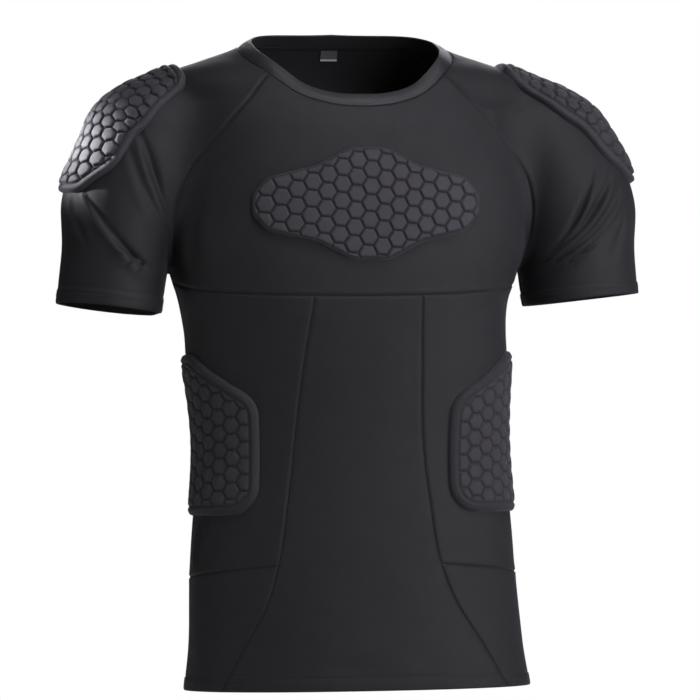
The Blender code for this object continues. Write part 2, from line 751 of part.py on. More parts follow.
def cells(field, turn):
    """Six-sided cells that fill a field, cut off at its edge."""
    spoke = CELL_PITCH / math.sqrt(3)
    middle = (field.min(axis=0) + field.max(axis=0)) / 2
    c, s = math.cos(turn), math.sin(turn)
    whole = 1.5 * math.sqrt(3) * spoke**2
    found = []
    corners = np.zeros((0, 2))
    for i in range(-12, 13):
        for j in range(-12, 13):
            a, b = 1.5 * spoke * i, CELL_PITCH * (j + 0.5 * (i % 2))
            at = middle + np.array([c * a - s * b, s * a + c * b])
            spokes = [turn + k * math.pi / 3 for k in range(6)]
            hexagon = [at + spoke * np.array([math.cos(k), math.sin(k)]) for k in spokes]
            cell = clipped(field, hexagon)
            if len(cell) < 3 or flat_area(cell) < CELL_LEAST * whole:
                continue
            tidy = []
            for p in cell:
                near = np.linalg.norm(corners - p, axis=1)
                if len(near) and near.min() < CELL_CORNER:
                    p = corners[near.argmin()]
                else:
                    corners = np.vstack([corners, p])
                if not any(np.array_equal(p, q) for q in tidy):
                    tidy.append(p)
            found.append(tidy)
    return found


def flattened(points, place, low, high):
    """Where points of a panel fall in a pad's flat terms."""
    pitch = 0.004
    a, b = np.meshgrid(np.arange(low[0], high[0], pitch), np.arange(low[1], high[1], pitch))
    a, b = a.ravel(), b.ravel()
    on = place(a, b)
    tree = KDTree(len(on))
    for i, p in enumerate(on):
        tree.insert(p, i)
    tree.balance()
    near = [tree.find(p) for p in points]
    kept = [i for i, (_, _, away) in enumerate(near) if away < 0.015]
    index = np.array([near[i][1] for i in kept])
    step = 0.001
    across = (place(a[index] + step, b[index]) - on[index]) / step
    along = (place(a[index], b[index] + step) - on[index]) / step
    miss = points[kept] - on[index]
    return np.stack([
        a[index] + np.sum(miss * across, axis=1) / np.sum(across**2, axis=1),
        b[index] + np.sum(miss * along, axis=1) / np.sum(along**2, axis=1),
    ], axis=-1)


def flat_pad(outline, sizes, place, under):
    """The pad as it comes from the mould: foot with the panel's own points, upright edge, raised cells."""
    field = drawn_in(outline, sizes["border"])
    chosen = cells(field, math.radians(sizes["turn_deg"]))
    points = [Vector(p) for p in outline]
    shapes = [list(range(len(outline)))]
    for cell in chosen:
        shapes.append(list(range(len(points), len(points) + len(cell))))
        points += [Vector(p) for p in cell]
    flat, _, faces, _, _, owners = delaunay_2d_cdt(points, [], shapes, 1, 2e-5)
    bm = bmesh.new()
    top = [bm.verts.new((p.x, p.y, sizes["edge_height"])) for p in flat]
    groups = {}
    for face, owner in zip(faces, owners):
        made = bm.faces.new([top[i] for i in face])
        inner = [o for o in owner if o > 0]
        if inner:
            groups.setdefault(inner[0], []).append(made)
    raised = []
    for members in groups.values():
        raised += bmesh.ops.dissolve_faces(bm, faces=members)["region"] if len(members) > 1 else members
    for face in bm.faces:
        if face.normal.z < 0:
            face.normal_flip()
    bm.normal_update()
    rise = sizes["cell_rise"]
    bmesh.ops.inset_individual(bm, faces=raised, thickness=CELL_SLOPE, depth=rise, use_even_offset=True)
    foot_points = [Vector(p) for p in outline]
    inside = drawn_in(outline, 0.1 * OUTLINE_STEP)
    for p in flattened(cloth[under][1], place, outline.min(axis=0), outline.max(axis=0)):
        if enclosed(p, inside):
            foot_points.append(Vector(p))
    flat, _, faces, _, _, _ = delaunay_2d_cdt(foot_points, [], [list(range(len(outline)))], 1, 2e-5)
    foot = [bm.verts.new((p.x, p.y, 0.0)) for p in flat]
    for face in faces:
        bm.faces.new([foot[i] for i in face])
    open_edges = [edge for edge in bm.edges if edge.is_boundary]
    bmesh.ops.bridge_loops(bm, edges=open_edges)
    return bm


def enclosed(p, outline):
    """Whether a flat point lies inside an outline."""
    after = np.roll(outline, -1, axis=0)
    crosses = (outline[:, 1] > p[1]) != (after[:, 1] > p[1])
    rise = np.where(crosses, after[:, 1] - outline[:, 1], 1.0)
    at = outline[:, 0] + (p[1] - outline[:, 1]) * (after[:, 0] - outline[:, 0]) / rise
    return bool(np.sum(crosses & (at > p[0])) % 2)


def pad(name, outline, sizes, place, under):
    """Moulds a pad flat and lays it on the outside of one panel."""
    bm = flat_pad(outline, sizes, place, under)
    flat = np.array([v.co for v in bm.verts])
    on = place(flat[:, 0], flat[:, 1])
    facing = normals(on)
    for vert, p, up in zip(bm.verts, on, facing):
        at = cloth[under][0].ray_cast(Vector(p + up * 0.02), Vector(-up), 0.04)[0] or Vector(p)
        vert.co = at + Vector(up) * (sizes["gap"] + vert.co.z)
    return finished(name, bm, "pad_knit")


def chest_place(a, b):
    start = np.stack([a, np.zeros_like(a), CHEST_PAD_Z + b], axis=-1)
    return cast(start, np.array([0.0, -1.0, 0.0]))


def chest_pad():
    quarter = list(CHEST_OUTLINE_QUARTER)
    half = [(a, -b, r) for a, b, r in quarter] + [(a, b, r) for a, b, r in reversed(quarter)]
    corners = half + [(-a, -b, r) for a, b, r in half]
    pad("chest_pad", rounded(corners, OUTLINE_STEP), CHEST_PAD, chest_place, "front_chest")


def rib_place(side, sign):
    turns = np.linspace(-0.3, math.pi + 0.3, 400)
    ring = around(turns, -0.40)
    length = np.concatenate([[0], np.cumsum(np.linalg.norm(np.diff(ring, axis=0), axis=1))])
    length = length - np.interp(math.pi / 2, turns, length)

    def place(a, b):
        turn = np.interp(-a - RIB_PAD_AHEAD[side], length, turns)
        return around(sign * turn, b)

    return place


def shoulder_ridge(side):
    """The line over the shoulder that the pad's middle follows: turn at each length from its start."""
    hinge = np.array([0.165, 0.0, -0.200])
    tilt = np.linspace(math.radians(100), math.radians(-5), 400)
    lean = np.interp(tilt, [0.0, 1.2, 1.8], [0.006, 0.024, 0.036])
    start = hinge + np.stack([np.zeros_like(tilt), lean, np.zeros_like(tilt)], axis=-1)
    line = cast(start, np.stack([np.cos(tilt), np.zeros_like(tilt), np.sin(tilt)], axis=-1))
    length = np.concatenate([[0], np.cumsum(np.linalg.norm(np.diff(line, axis=0), axis=1))])
    return line, length - np.interp(SHOULDER_PAD_START_X[side], line[:, 0], length)


def shoulder_place(side, sign):
    line, length = shoulder_ridge(side)
    facing = normals(line) * np.array([1.0, 0.0, 1.0])

    def place(a, b):
        ridge = np.stack([np.interp(a, length, line[:, i]) for i in range(3)], axis=-1)
        up = unit(np.stack([np.interp(a, length, facing[:, i]) for i in range(3)], axis=-1))
        turn = ((b + SHOULDER_PAD_AHEAD[side]) / SHOULDER_RIDGE_RADIUS)[:, None]
        start = ridge - up * SHOULDER_RIDGE_RADIUS
        ahead = np.array([0.0, -1.0, 0.0])
        return cast(start, np.cos(turn) * up + np.sin(turn) * ahead) * np.array([sign, 1.0, 1.0])

    return place


def side_pads(side, sign):
    half = list(SHOULDER_OUTLINE_HALF)
    corners = [(a, -b, r) for a, b, r in half] + [(a, b, r) for a, b, r in reversed(half)]
    outline = rounded(corners, 0.7 * OUTLINE_STEP)
    pad("shoulder_pad_" + side, outline, SHOULDER_PAD, shoulder_place(side, sign), "sleeve_" + side)
    outline = rounded(RIB_OUTLINE, OUTLINE_STEP)
    pad("rib_pad_" + side, outline, RIB_PAD, rib_place(side, sign), "side_upper_" + side)


def neck_label(inside):
    """A small tape that lies on the inside of the back, just below the neck seam."""
    middle = BACK_COLUMNS // 2
    here, beside, below = inside[-1, middle], inside[-1, middle + 1], inside[-2, middle]
    reach = LABEL_WIDTH / 2 / np.linalg.norm(beside - here)
    drop = np.array([LABEL_TOP + LABEL_DROP, LABEL_TOP]) / np.linalg.norm(below - here)
    laid = []
    for share in drop:
        row = inside[-1] + share * (inside[-2] - inside[-1])
        ends = [row[middle] + reach * (row[middle + step] - row[middle]) for step in (-1, 1)]
        laid.append([ends[0], row[middle], ends[1]])
    laid = np.array(laid)
    away = -normals(laid)
    slab("neck_label", laid + away * (LABEL_GAP + LABEL_THICK), laid + away * LABEL_GAP, "label_tape")


for old in list(bpy.data.objects):
    bpy.data.objects.remove(old)
shirt = bpy.data.collections.new("padded_shirt")
bpy.context.scene.collection.children.link(shirt)
surfaces = {}
cloth = {}
for slot, (colour, rough) in MATERIALS.items():
    surface = bpy.data.materials.new(slot)
    surface.use_nodes = True
    shader = surface.node_tree.nodes["Principled BSDF"]
    shader.inputs["Base Color"].default_value = (*colour, 1.0)
    shader.inputs["Roughness"].default_value = rough
    shader.inputs["Metallic"].default_value = 0.0
    surfaces[slot] = surface

front_center()
chest_top = front_chest()
back_top, back_inside = back()
sleeve = sleeve_grid()
sleeve_top = sleeve[-1]
neck_runs = (chest_top, sleeve_top, back_top[::-1], mirrored(sleeve_top)[::-1])
neckband(np.concatenate([run[:-1] for run in neck_runs]))
for side, sign in SIDES.items():
    side_panels(side, sign)
    panel("sleeve_" + side, sleeve * np.array([sign, 1.0, 1.0]), range(CUFF_ROWS + 1, len(sleeve), 2))
    side_pads(side, sign)
chest_pad()
neck_label(back_inside)
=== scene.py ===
import math

import bmesh
import bpy
import numpy as np
from mathutils import Matrix, Vector
from mathutils.geometry import delaunay_2d_cdt


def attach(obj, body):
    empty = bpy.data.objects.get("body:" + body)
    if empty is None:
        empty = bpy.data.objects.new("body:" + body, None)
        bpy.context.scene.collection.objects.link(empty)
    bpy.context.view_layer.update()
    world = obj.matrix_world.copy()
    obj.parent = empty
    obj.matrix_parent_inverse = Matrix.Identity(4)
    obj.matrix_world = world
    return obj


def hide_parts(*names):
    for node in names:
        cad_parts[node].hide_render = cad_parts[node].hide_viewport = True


# Padded compression shirt, filled out as worn. Metres, +X to the wearer's left, -Y to the front, +Z up.
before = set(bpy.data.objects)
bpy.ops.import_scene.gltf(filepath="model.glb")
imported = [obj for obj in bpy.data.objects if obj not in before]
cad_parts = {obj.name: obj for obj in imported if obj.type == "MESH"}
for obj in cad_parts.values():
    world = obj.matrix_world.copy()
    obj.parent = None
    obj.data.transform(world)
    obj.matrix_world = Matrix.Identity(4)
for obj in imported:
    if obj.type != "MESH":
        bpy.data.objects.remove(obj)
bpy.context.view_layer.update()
print("frame loaded:", len(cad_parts), "solids")

# The worn form, ring by ring
bodyCut = {
    "columns": ("z", "halfWidth", "frontY", "sideY", "backY", "square", "twist"),
    "rows": (
        (-0.680, 0.184, -0.111, 0.000, 0.114, 2.25, -4.5),
        (-0.657, 0.182, -0.110, 0.000, 0.112, 2.25, -4.5),  # hem
        (-0.617, 0.176, -0.108, 0.000, 0.109, 2.25, -5.0),
        (-0.545, 0.1706, -0.104, 0.000, 0.103, 2.25, -6.0),
        (-0.480, 0.1655, -0.100, 0.000, 0.096, 2.25, -6.5),
        (-0.400, 0.159, -0.098, 0.000, 0.091, 2.25, -6.0),  # waist
        (-0.310, 0.166, -0.107, 0.000, 0.099, 2.3, -2.5),
        (-0.250, 0.1727, -0.116, 0.000, 0.108, 2.35, 0.0),
        (-0.229, 0.180, -0.118, 0.001, 0.111, 2.35, 0.0),
        (-0.205, 0.188, -0.119, 0.003, 0.114, 2.35, 0.0),
        (-0.150, 0.190, -0.117, 0.008, 0.117, 2.35, 0.0),  # chest
        (-0.100, 0.189, -0.108, 0.014, 0.119, 2.3, 0.0),
        (-0.046, 0.188, -0.085, 0.024, 0.116, 2.3, 0.0),
        (-0.004, 0.184, -0.045, 0.036, 0.108, 2.3, 0.0),
        (0.0065, 0.152, -0.026, 0.040, 0.104, 2.3, 0.0),
        (0.017, 0.118, -0.008, 0.044, 0.099, 2.3, 0.0),
        (0.028, 0.088, 0.008, 0.048, 0.092, 2.2, 0.0),
        (0.044, 0.060, 0.020, 0.052, 0.084, 2.2, 0.0),
    ),
}
armCut = {
    "top": -0.012,
    "columns": ("z", "centerX", "centerY", "halfWidth", "halfDepth"),
    "rows": (
        (-0.280, 0.2555, 0.000, 0.0585, 0.0600),
        (-0.250, 0.2513, 0.000, 0.0598, 0.0620),  # cuff
        (-0.200, 0.2450, 0.002, 0.0620, 0.0650),
        (-0.150, 0.2365, 0.006, 0.0705, 0.0685),
        (-0.126, 0.2290, 0.009, 0.0715, 0.0690),
        (-0.085, 0.2140, 0.016, 0.0695, 0.0660),
        (-0.042, 0.1960, 0.026, 0.0610, 0.0560),
        (-0.023, 0.1850, 0.031, 0.0430, 0.0400),
        (-0.012, 0.1760, 0.034, 0.0260, 0.0240),
    ),
}
blendCut = {  # how softly the arm runs into the body
    "columns": ("z", "radius"),
    "rows": (
        (-0.300, 0.008),
        (-0.219, 0.008),
        (-0.150, 0.022),
        (-0.100, 0.034),
        (-0.060, 0.030),
        (-0.030, 0.016),
        (0.040, 0.012),
    ),
}

# Seam lines
neckCut = {
    "halfWidth": 0.114,
    "frontY": -0.0905,
    "middleY": 0.012,
    "backY": 0.094,
    "fullness": 0.88,
    "castZ": -0.110,  # a height below the whole seam
    "castReach": 0.2,
}
raglanCut = {
    "neckTurn": {"front": math.radians(53.0), "back": math.radians(140.0)},
    "columns": ("along", "x", "z"),
    "front": (
        (0.00, 0.1865, -0.219),
        (0.16, 0.1885, -0.187),
        (0.34, 0.1880, -0.155),
        (0.52, 0.1770, -0.119),
        (0.73, 0.1450, -0.080),
        (1.00, 0.0910, -0.036),
    ),
    "back": (
        (0.00, 0.1865, -0.219),
        (0.16, 0.1885, -0.187),
        (0.34, 0.1870, -0.155),
        (0.52, 0.1750, -0.116),
        (0.73, 0.1400, -0.067),
        (1.00, 0.0680, 0.008),
    ),
    "sideShare": 0.125,  # share of the upper panels' height below the underarm
    "startFade": 0.12,  # drawn to the underarm up to here, and to the neck from pullFrom on
    "pullFrom": 0.6,
}
spineCut = {  # middle of the sleeve: cuff -1, underarm 0, neck 1
    "columns": ("along", "x", "y", "z", "tilt"),
    "rows": (
        (-1.00, 0.2520, 0.000, -0.2525, 5.5),
        (0.00, 0.2430, 0.003, -0.2050, 14.0),
        (0.25, 0.2270, 0.008, -0.1650, 32.0),
        (0.50, 0.2020, 0.018, -0.1200, 56.0),
        (0.75, 0.1650, 0.030, -0.0800, 84.0),
        (1.00, 0.1240, 0.038, -0.0480, 106.0),
    ),
}
princessCut = {
    "columns": ("z", "turn"),
    "rows": (
        (-0.657, 65.0),
        (-0.612, 56.5),
        (-0.565, 46.5),
        (-0.528, 42.0),
        (-0.460, 38.3),
        (-0.381, 34.5),
        (-0.250, 26.5),
    ),
}
backSeamCut = {
    "columns": ("z", "turn"),
    "rows": (
        (-0.657, 104.0),
        (-0.540, 108.0),
        (-0.420, 111.0),
        (-0.330, 107.0),
        (-0.270, 97.0),
        (-0.232, 90.0),
    ),
}
lowerCut = {
    "hemZ": -0.657,
    "chestMiddleZ": -0.2525,
    "chestSideZ": -0.232,
    "sideSeamZ": -0.528,
    "sideSeamDrop": 0.012,
    "armsClearZ": -0.236,  # below this the body's rings stand alone
    "slantReach": 0.11,  # how far above and below the side seam its slant is felt
    "dropTurn": 0.9,
}
underarmSearch = {"x": (0.150, 0.230), "z": (-0.240, -0.190), "points": 400, "ends": 60}

# How the worn shirt sits beside its even cut, by height, at seven places across
settleCut = {
    "x": (-0.3, -0.2, -0.18, 0.0, 0.18, 0.2, 0.3),
    "columns": ("z", "rightArm", "rightCuff", "rightSide", "middle", "leftSide", "leftCuff", "leftArm"),
    "sideways": (
        (-0.66, 0.003, 0.0035, 0.0035, 0.003, 0.0025, 0.0025, 0.0025),
        (-0.6, 0.0, 0.0009, 0.001, 0.0015, 0.0015, 0.0014, 0.0),
        (-0.53, 0.0, -0.0019, -0.002, -0.0005, 0.0, 0.0, 0.0),
        (-0.46, 0.0, -0.0023, -0.0025, 0.0, 0.001, 0.0009, 0.0),
        (-0.4, 0.0, -0.0037, -0.004, 0.0, 0.002, 0.0019, 0.0),
        (-0.35, 0.0, -0.0051, -0.0055, 0.0, 0.001, 0.0009, 0.0),
        (-0.32, 0.0, -0.0065, -0.007, 0.0, 0.0, 0.0, 0.0),
        (-0.29, 0.0, -0.0065, -0.007, 0.0, -0.003, -0.0028, 0.0),
        (-0.26, 0.001, -0.0073, -0.008, 0.0, -0.0045, -0.0042, 0.0),
        (-0.215, 0.003, -0.0053, -0.006, 0.0, -0.0035, -0.0032, 0.001),
        (-0.17, 0.0055, -0.0014, -0.002, 0.0, -0.001, -0.0007, 0.0025),
        (-0.13, 0.0045, 0.0003, 0.0, 0.0, 0.001, 0.0013, 0.0045),
        (-0.1, 0.0075, 0.0015, 0.001, 0.0, 0.001, 0.0014, 0.006),
        (-0.055, 0.0075, 0.0024, 0.002, 0.0, 0.001, 0.0011, 0.003),
        (-0.01, 0.006, 0.0032, 0.003, 0.0, -0.001, -0.001, -0.001),
        (0.02, 0.003, 0.0025, 0.0025, 0.0, -0.001, -0.0009, 0.0),
        (0.05, 0.0, 0.0, 0.0, 0.0, 0.0, 0.0, 0.0),
    ),
    "upward": (
        (-0.4, 0.0, 0.0, 0.0, 0.0, 0.0, 0.0, 0.0),
        (-0.3, -0.0155, -0.0155, 0.0, 0.0, 0.0, -0.001, 0.0016),
        (-0.25, -0.0065, -0.0065, 0.0, 0.0, 0.0, -0.0004, 0.0006),
        (-0.215, -0.001, -0.001, 0.0, 0.0, 0.0, 0.0, 0.0),
        (-0.19, 0.0, 0.0, 0.0, 0.0, 0.0, 0.0, 0.0),
        (-0.06, 0.0, 0.0, 0.0, 0.0, 0.0, 0.0, 0.0),
        (-0.025, -0.002, -0.0023, -0.0023, 0.0, -0.0027, -0.0026, -0.002),
        (0.0, -0.003, -0.0036, -0.0036, 0.0, -0.0044, -0.0043, -0.003),
        (0.02, -0.002, -0.0022, -0.0022, 0.0, -0.0026, -0.0026, -0.002),
        (0.05, 0.0, 0.0, 0.0, 0.0, 0.0, 0.0, 0.0),
    ),
}


class Sections:  # sizes that run smoothly through the rows of a cut, by its first column
    def __init__(self, cut, rows="rows"):
        values = np.array(cut[rows], float)
        self.key = values[:, 0]
        self.value = dict(zip(cut["columns"], values.T))
        self.slope = {name: np.gradient(column, self.key) for name, column in self.value.items()}

    def at(self, name, key):
        key = np.clip(key, self.key[0], self.key[-1])
        i = np.clip(np.searchsorted(self.key, key, side="right") - 1, 0, len(self.key) - 2)
        span = self.key[i + 1] - self.key[i]
        t = (key - self.key[i]) / span
        v, m = self.value[name], self.slope[name]
        low = (2 * t**3 - 3 * t**2 + 1) * v[i] + (t**3 - 2 * t**2 + t) * span * m[i]
        return low + (3 * t**2 - 2 * t**3) * v[i + 1] + (t**3 - t**2) * span * m[i + 1]


bodyRings = Sections(bodyCut)
armRings = Sections(armCut)
blendRings = Sections(blendCut)
spine = Sections(spineCut)
princess = Sections(princessCut)
backSeam = Sections(backSeamCut)
raglanLines = {which: Sections(raglanCut, which) for which in ("front", "back")}
settleMoves = {axis: Sections(settleCut, axis) for axis in ("sideways", "upward")}

toward = {
    "front": np.array([0.0, -1.0, 0.0]),
    "back": np.array([0.0, 1.0, 0.0]),
    "top": np.array([0.0, 0.0, 1.0]),
}
otherSide = np.array([-1.0, 1.0, 1.0])  # turns a left piece into a right one


def unit(v):
    return v / np.maximum(np.linalg.norm(v, axis=-1, keepdims=True), 1e-12)


def smooth(low, high, x):
    t = np.clip((x - low) / (high - low), 0, 1)
    return t * t * (3 - 2 * t)


def bump(x, middle, reach):
    return np.exp(-(((x - middle) / reach) ** 2))


def wobble(p, length, seed):  # soft unevenness between -1 and 1, about one wave a length
    turns = np.random.default_rng(seed).uniform(-1, 1, (5, 4))
    waves = [np.sin(p @ (6.5 * t[:3] / length) + 9 * t[3]) for t in turns]
    return sum(waves) / len(turns)


def runLength(path):  # distance of each point of a path from its start
    return np.concatenate([[0], np.cumsum(np.linalg.norm(np.diff(path, axis=0), axis=1))])


def alongPath(at, length, values):  # what a path has at given distances from its start
    return np.stack([np.interp(at, length, values[:, i]) for i in range(3)], axis=-1)


def bodyReach(dx, dy, z):
    n = bodyRings.at("square", z)
    side = bodyRings.at("sideY", z)
    depth = np.where(dy < 0, side - bodyRings.at("frontY", z), bodyRings.at("backY", z) - side)
    return ((np.abs(dx) / bodyRings.at("halfWidth", z)) ** n + (np.abs(dy) / depth) ** n) ** (-1 / n)


def armReach(dx, dy, z):
    return ((dx / armRings.at("halfWidth", z)) ** 2 + (dy / armRings.at("halfDepth", z)) ** 2) ** -0.5


def ringDistance(reach, x, y, z):
    rho = np.hypot(x, y) + 1e-9
    dx, dy = x / rho, y / rho
    step = 0.001
    slope = (reach(dx, dy, z + step) - reach(dx, dy, z - step)) / (2 * step)
    return (rho - reach(dx, dy, z)) / np.sqrt(1 + slope**2)


def untwisted(x, y, z):
    twist = np.radians(bodyRings.at("twist", z))
    y = y - bodyRings.at("sideY", z)
    return np.cos(twist) * x + np.sin(twist) * y, np.cos(twist) * y - np.sin(twist) * x


def form(p):  # below zero inside the filled-out shirt
    x, y, z = p[..., 0], p[..., 1], p[..., 2]
    trunk = ringDistance(bodyReach, *untwisted(x, y, z), z)
    limb = ringDistance(armReach, np.abs(x) - armRings.at("centerX", z), y - armRings.at("centerY", z), z)
    limb = np.maximum(limb, z - armCut["top"])
    k = blendRings.at("radius", z)
    near = np.maximum(k - np.abs(trunk - limb), 0) / k
    return np.minimum(trunk, limb) - near**2 * k / 4


def outward(p):
    step = 0.0003
    return unit(np.stack([form(p + step * axis) - form(p - step * axis) for axis in np.eye(3)], axis=-1))


def cast(start, direction, reach=0.34, stride=0.003):  # first way out of the form along each line
    start, direction = np.broadcast_arrays(np.asarray(start, float), np.asarray(direction, float))
    far = np.arange(1, int(reach / stride) + 1) * stride
    out = form(start[..., None, :] + far[:, None] * direction[..., None, :]) > 0
    high = far[np.argmax(out, axis=-1)]
    low = high - stride
    for _ in range(20):
        middle = (low + high) / 2
        outside = form(start + middle[..., None] * direction) > 0
        high = np.where(outside, middle, high)
        low = np.where(outside, low, middle)
    return start + high[..., None] * direction


def around(turn, z):  # points of the body at a turn from the front and a height
    turn, z = np.broadcast_arrays(np.asarray(turn, float), np.asarray(z, float))
    bearing = turn + np.radians(bodyRings.at("twist", z))
    middle = np.stack([np.zeros_like(z), bodyRings.at("sideY", z), z], axis=-1)
    away = np.stack([np.sin(bearing), -np.cos(bearing), np.zeros_like(z)], axis=-1)
    points = middle + bodyReach(np.sin(turn), -np.cos(turn), z)[..., None] * away
    high = z > lowerCut["armsClearZ"]
    if high.any():
        points[high] = cast(middle[high], away[high])
    return points


def chart(p):
    x, y = untwisted(p[..., 0], p[..., 1], p[..., 2])
    return np.stack([np.arctan2(x, -y), p[..., 2]], axis=-1)


def findUnderarm():  # lowest point where arm and body still touch
    x = np.linspace(*underarmSearch["x"], underarmSearch["points"])
    inner = slice(underarmSearch["ends"], -underarmSearch["ends"])
    low, high = underarmSearch["z"]
    for _ in range(30):
        z = (low + high) / 2
        y = float(bodyRings.at("sideY", z))
        level = form(np.stack([x, np.full_like(x, y), np.full_like(x, z)], axis=-1))[inner]
        low, high = (z, high) if level.max() > 0 else (low, z)
    return np.array([x[inner][np.argmax(level)], y, high])


underarm = findUnderarm()


def neckSeam(turn):
    turn = np.asarray(turn, float)
    ahead = neckCut["middleY"] - neckCut["frontY"]
    behind = neckCut["backY"] - neckCut["middleY"]
    across, along = (np.sign(v) * np.abs(v) ** neckCut["fullness"] for v in (np.sin(turn), np.cos(turn)))
    y = neckCut["middleY"] - along * np.where(along > 0, ahead, behind)
    start = np.stack([neckCut["halfWidth"] * across, y, np.full_like(y, neckCut["castZ"])], axis=-1)
    return cast(start, toward["top"], reach=neckCut["castReach"])


def raglanSeam(which, along):  # on the wearer's left, underarm to neck
    line = raglanLines[which]
    x, z = line.at("x", along), line.at("z", along)
    fade = np.clip(along / raglanCut["startFade"], 0, 1)
    x = fade * x + (1 - fade) * underarm[0]
    z = z + (1 - fade) * (underarm[2] - raglanCut[which][0][2])
    points = cast(np.stack([x, np.full_like(x, underarm[1]), z], axis=-1), toward[which])
    points[0] = underarm
    end = neckSeam(raglanCut["neckTurn"][which])
    over = along - raglanCut["pullFrom"]
    pull = np.clip(over / (1 - raglanCut["pullFrom"]), 0, 1)[:, None] ** 2
    points = points + pull * (end - points[-1])
    turned = chart(points)
    points = np.where((over > 0)[:, None], around(turned[:, 0], turned[:, 1]), points)
    points[-1] = end
    return points


def chestSeamZ(turn):
    rise = lowerCut["chestSideZ"] - lowerCut["chestMiddleZ"]
    return lowerCut["chestMiddleZ"] + rise * (np.abs(turn) / (math.pi / 2)) ** 3


def filled(bottom, top, left, right, u, v):  # a four-sided patch from its edges
    u, v = u[None, :, None], v[:, None, None]
    ruled = (1 - v) * bottom[None] + v * top[None] + (1 - u) * left[:, None] + u * right[:, None]
    low = (1 - u) * bottom[0] + u * bottom[-1]
    high = (1 - u) * top[0] + u * top[-1]
    return ruled - (1 - v) * low - v * high


# Shader nodes
class Wire:  # a shader value that can be used in sums
    def __init__(self, finish, socket):
        self.finish = finish
        self.socket = socket

    def __add__(self, other):
        return self.finish.calc("ADD", self, other)

    def __radd__(self, other):
        return self.finish.calc("ADD", other, self)

    def __rsub__(self, other):
        return self.finish.calc("SUBTRACT", other, self)

    def __mul__(self, other):
        return self.finish.calc("MULTIPLY", self, other)

    def __rmul__(self, other):
        return self.finish.calc("MULTIPLY", other, self)

    def __truediv__(self, other):
        return self.finish.calc("DIVIDE", self, other)


class Finish:  # one material and its nodes, from the values of its look
    def __init__(self, name, look):
        self.look = look
        self.material = bpy.data.materials.new(name)
        self.material.use_nodes = True
        self.tree = self.material.node_tree
        self.shader = self.tree.nodes["Principled BSDF"]
        self.shader.inputs["Metallic"].default_value = 0.0
        self.shader.inputs["Specular IOR Level"].default_value = look["specular"]
        self.shader.inputs["Sheen Weight"].default_value = look["sheen"]
        self.shader.inputs["Sheen Roughness"].default_value = 0.38
        self.shader.inputs["Sheen Tint"].default_value = (*look["sheenTint"], 1.0)

    def node(self, kind, settings=None, inputs=None, output=0):
        made = self.tree.nodes.new(kind)
        for name, value in (settings or {}).items():
            setattr(made, name, value)
        for name, value in (inputs or {}).items():
            if isinstance(value, Wire):
                self.tree.links.new(value.socket, made.inputs[name])
            else:
                made.inputs[name].default_value = value
        return Wire(self, made.outputs[output])

    def feed(self, name, wire):
        self.tree.links.new(wire.socket, self.shader.inputs[name])

    def noise(self, scale, detail):
        place = self.node("ShaderNodeTexCoord", output="Object")
        inputs = {"Vector": place, "Scale": scale, "Detail": detail, "Roughness": 0.55}
        return self.node("ShaderNodeTexNoise", {"noise_dimensions": "3D"}, inputs)

    def calc(self, operation, *values):
        return self.node("ShaderNodeMath", {"operation": operation}, dict(enumerate(values)))

    def mix(self, factor, first, second):
        first = (*first, 1.0) if isinstance(first, tuple) else first
        inputs = {"Factor": factor, 6: first, 7: (*second, 1.0)}
        return self.node("ShaderNodeMix", {"data_type": "RGBA"}, inputs, output=2)

    def mottled(self):  # dark to light by a coarse and a fine noise
        coarse, fine = (self.noise(scale, detail) * share for scale, detail, share in self.look["mottle"])
        return self.mix(coarse + fine, self.look["dark"], self.look["light"])

    def roughened(self):
        least, more, scale, detail = self.look["rough"]
        return least + more * self.noise(scale, detail)

    def relief(self, height):
        depth, strength = self.look["relief"]
        return self.node("ShaderNodeBump", {}, {"Height": height, "Distance": depth, "Strength": strength})

    def cloth(self):  # the piece's own uv, across and along, in metres
        parts = self.tree.nodes.new("ShaderNodeSeparateXYZ")
        spots = self.node("ShaderNodeUVMap", {"uv_map": "UVMap"})
        self.tree.links.new(spots.socket, parts.inputs[0])
        return Wire(self, parts.outputs[0]), Wire(self, parts.outputs[1])

    def loops(self):  # height of a plain knit: slanting legs, two to a wale
        across, along = self.cloth()
        leg = self.calc("PINGPONG", across / self.look["wale"], 0.5)
        row = self.calc("SINE", (along / self.look["course"] + leg * 1.3) * (2 * math.pi))
        return (row * 0.5 + 0.5) * self.calc("SINE", leg * (2 * math.pi))

    def fuzz(self):
        height, scale, detail = self.look["fuzz"]
        return height * self.noise(scale, detail)


# In each look, mottle is the scale, detail and share of two noises, rough the least, what a noise adds,
# its scale and detail, fuzz a noise's height, scale and detail, and relief a depth and strength.
clothLook = {
    "dark": (0.0122, 0.0120, 0.0133),
    "light": (0.0188, 0.0184, 0.0205),
    "mottle": ((34.0, 4.0, 0.65), (1400.0, 2.0, 0.35)),
    "rough": (0.52, 0.20, 60.0, 3.0),
    "sheen": 0.10,
    "sheenTint": (0.62, 0.61, 0.68),
    "specular": 0.32,
    "wale": 0.00088,
    "course": 0.00072,
    "fuzz": (0.6, 2600.0, 2.0),
    "relief": (0.00010, 0.45),
}
bandLook = {
    "dark": (0.0165, 0.0163, 0.0180),
    "light": (0.0255, 0.0250, 0.0276),
    "mottle": ((70.0, 3.0, 0.7), (1600.0, 2.0, 0.3)),
    "rough": (0.40, 0.16, 90.0, 2.0),
    "sheen": 0.10,
    "sheenTint": (0.66, 0.65, 0.70),
    "specular": 0.42,
    "wale": 0.0007,
    "course": 0.0011,
    "relief": (0.00012, 0.5),
}
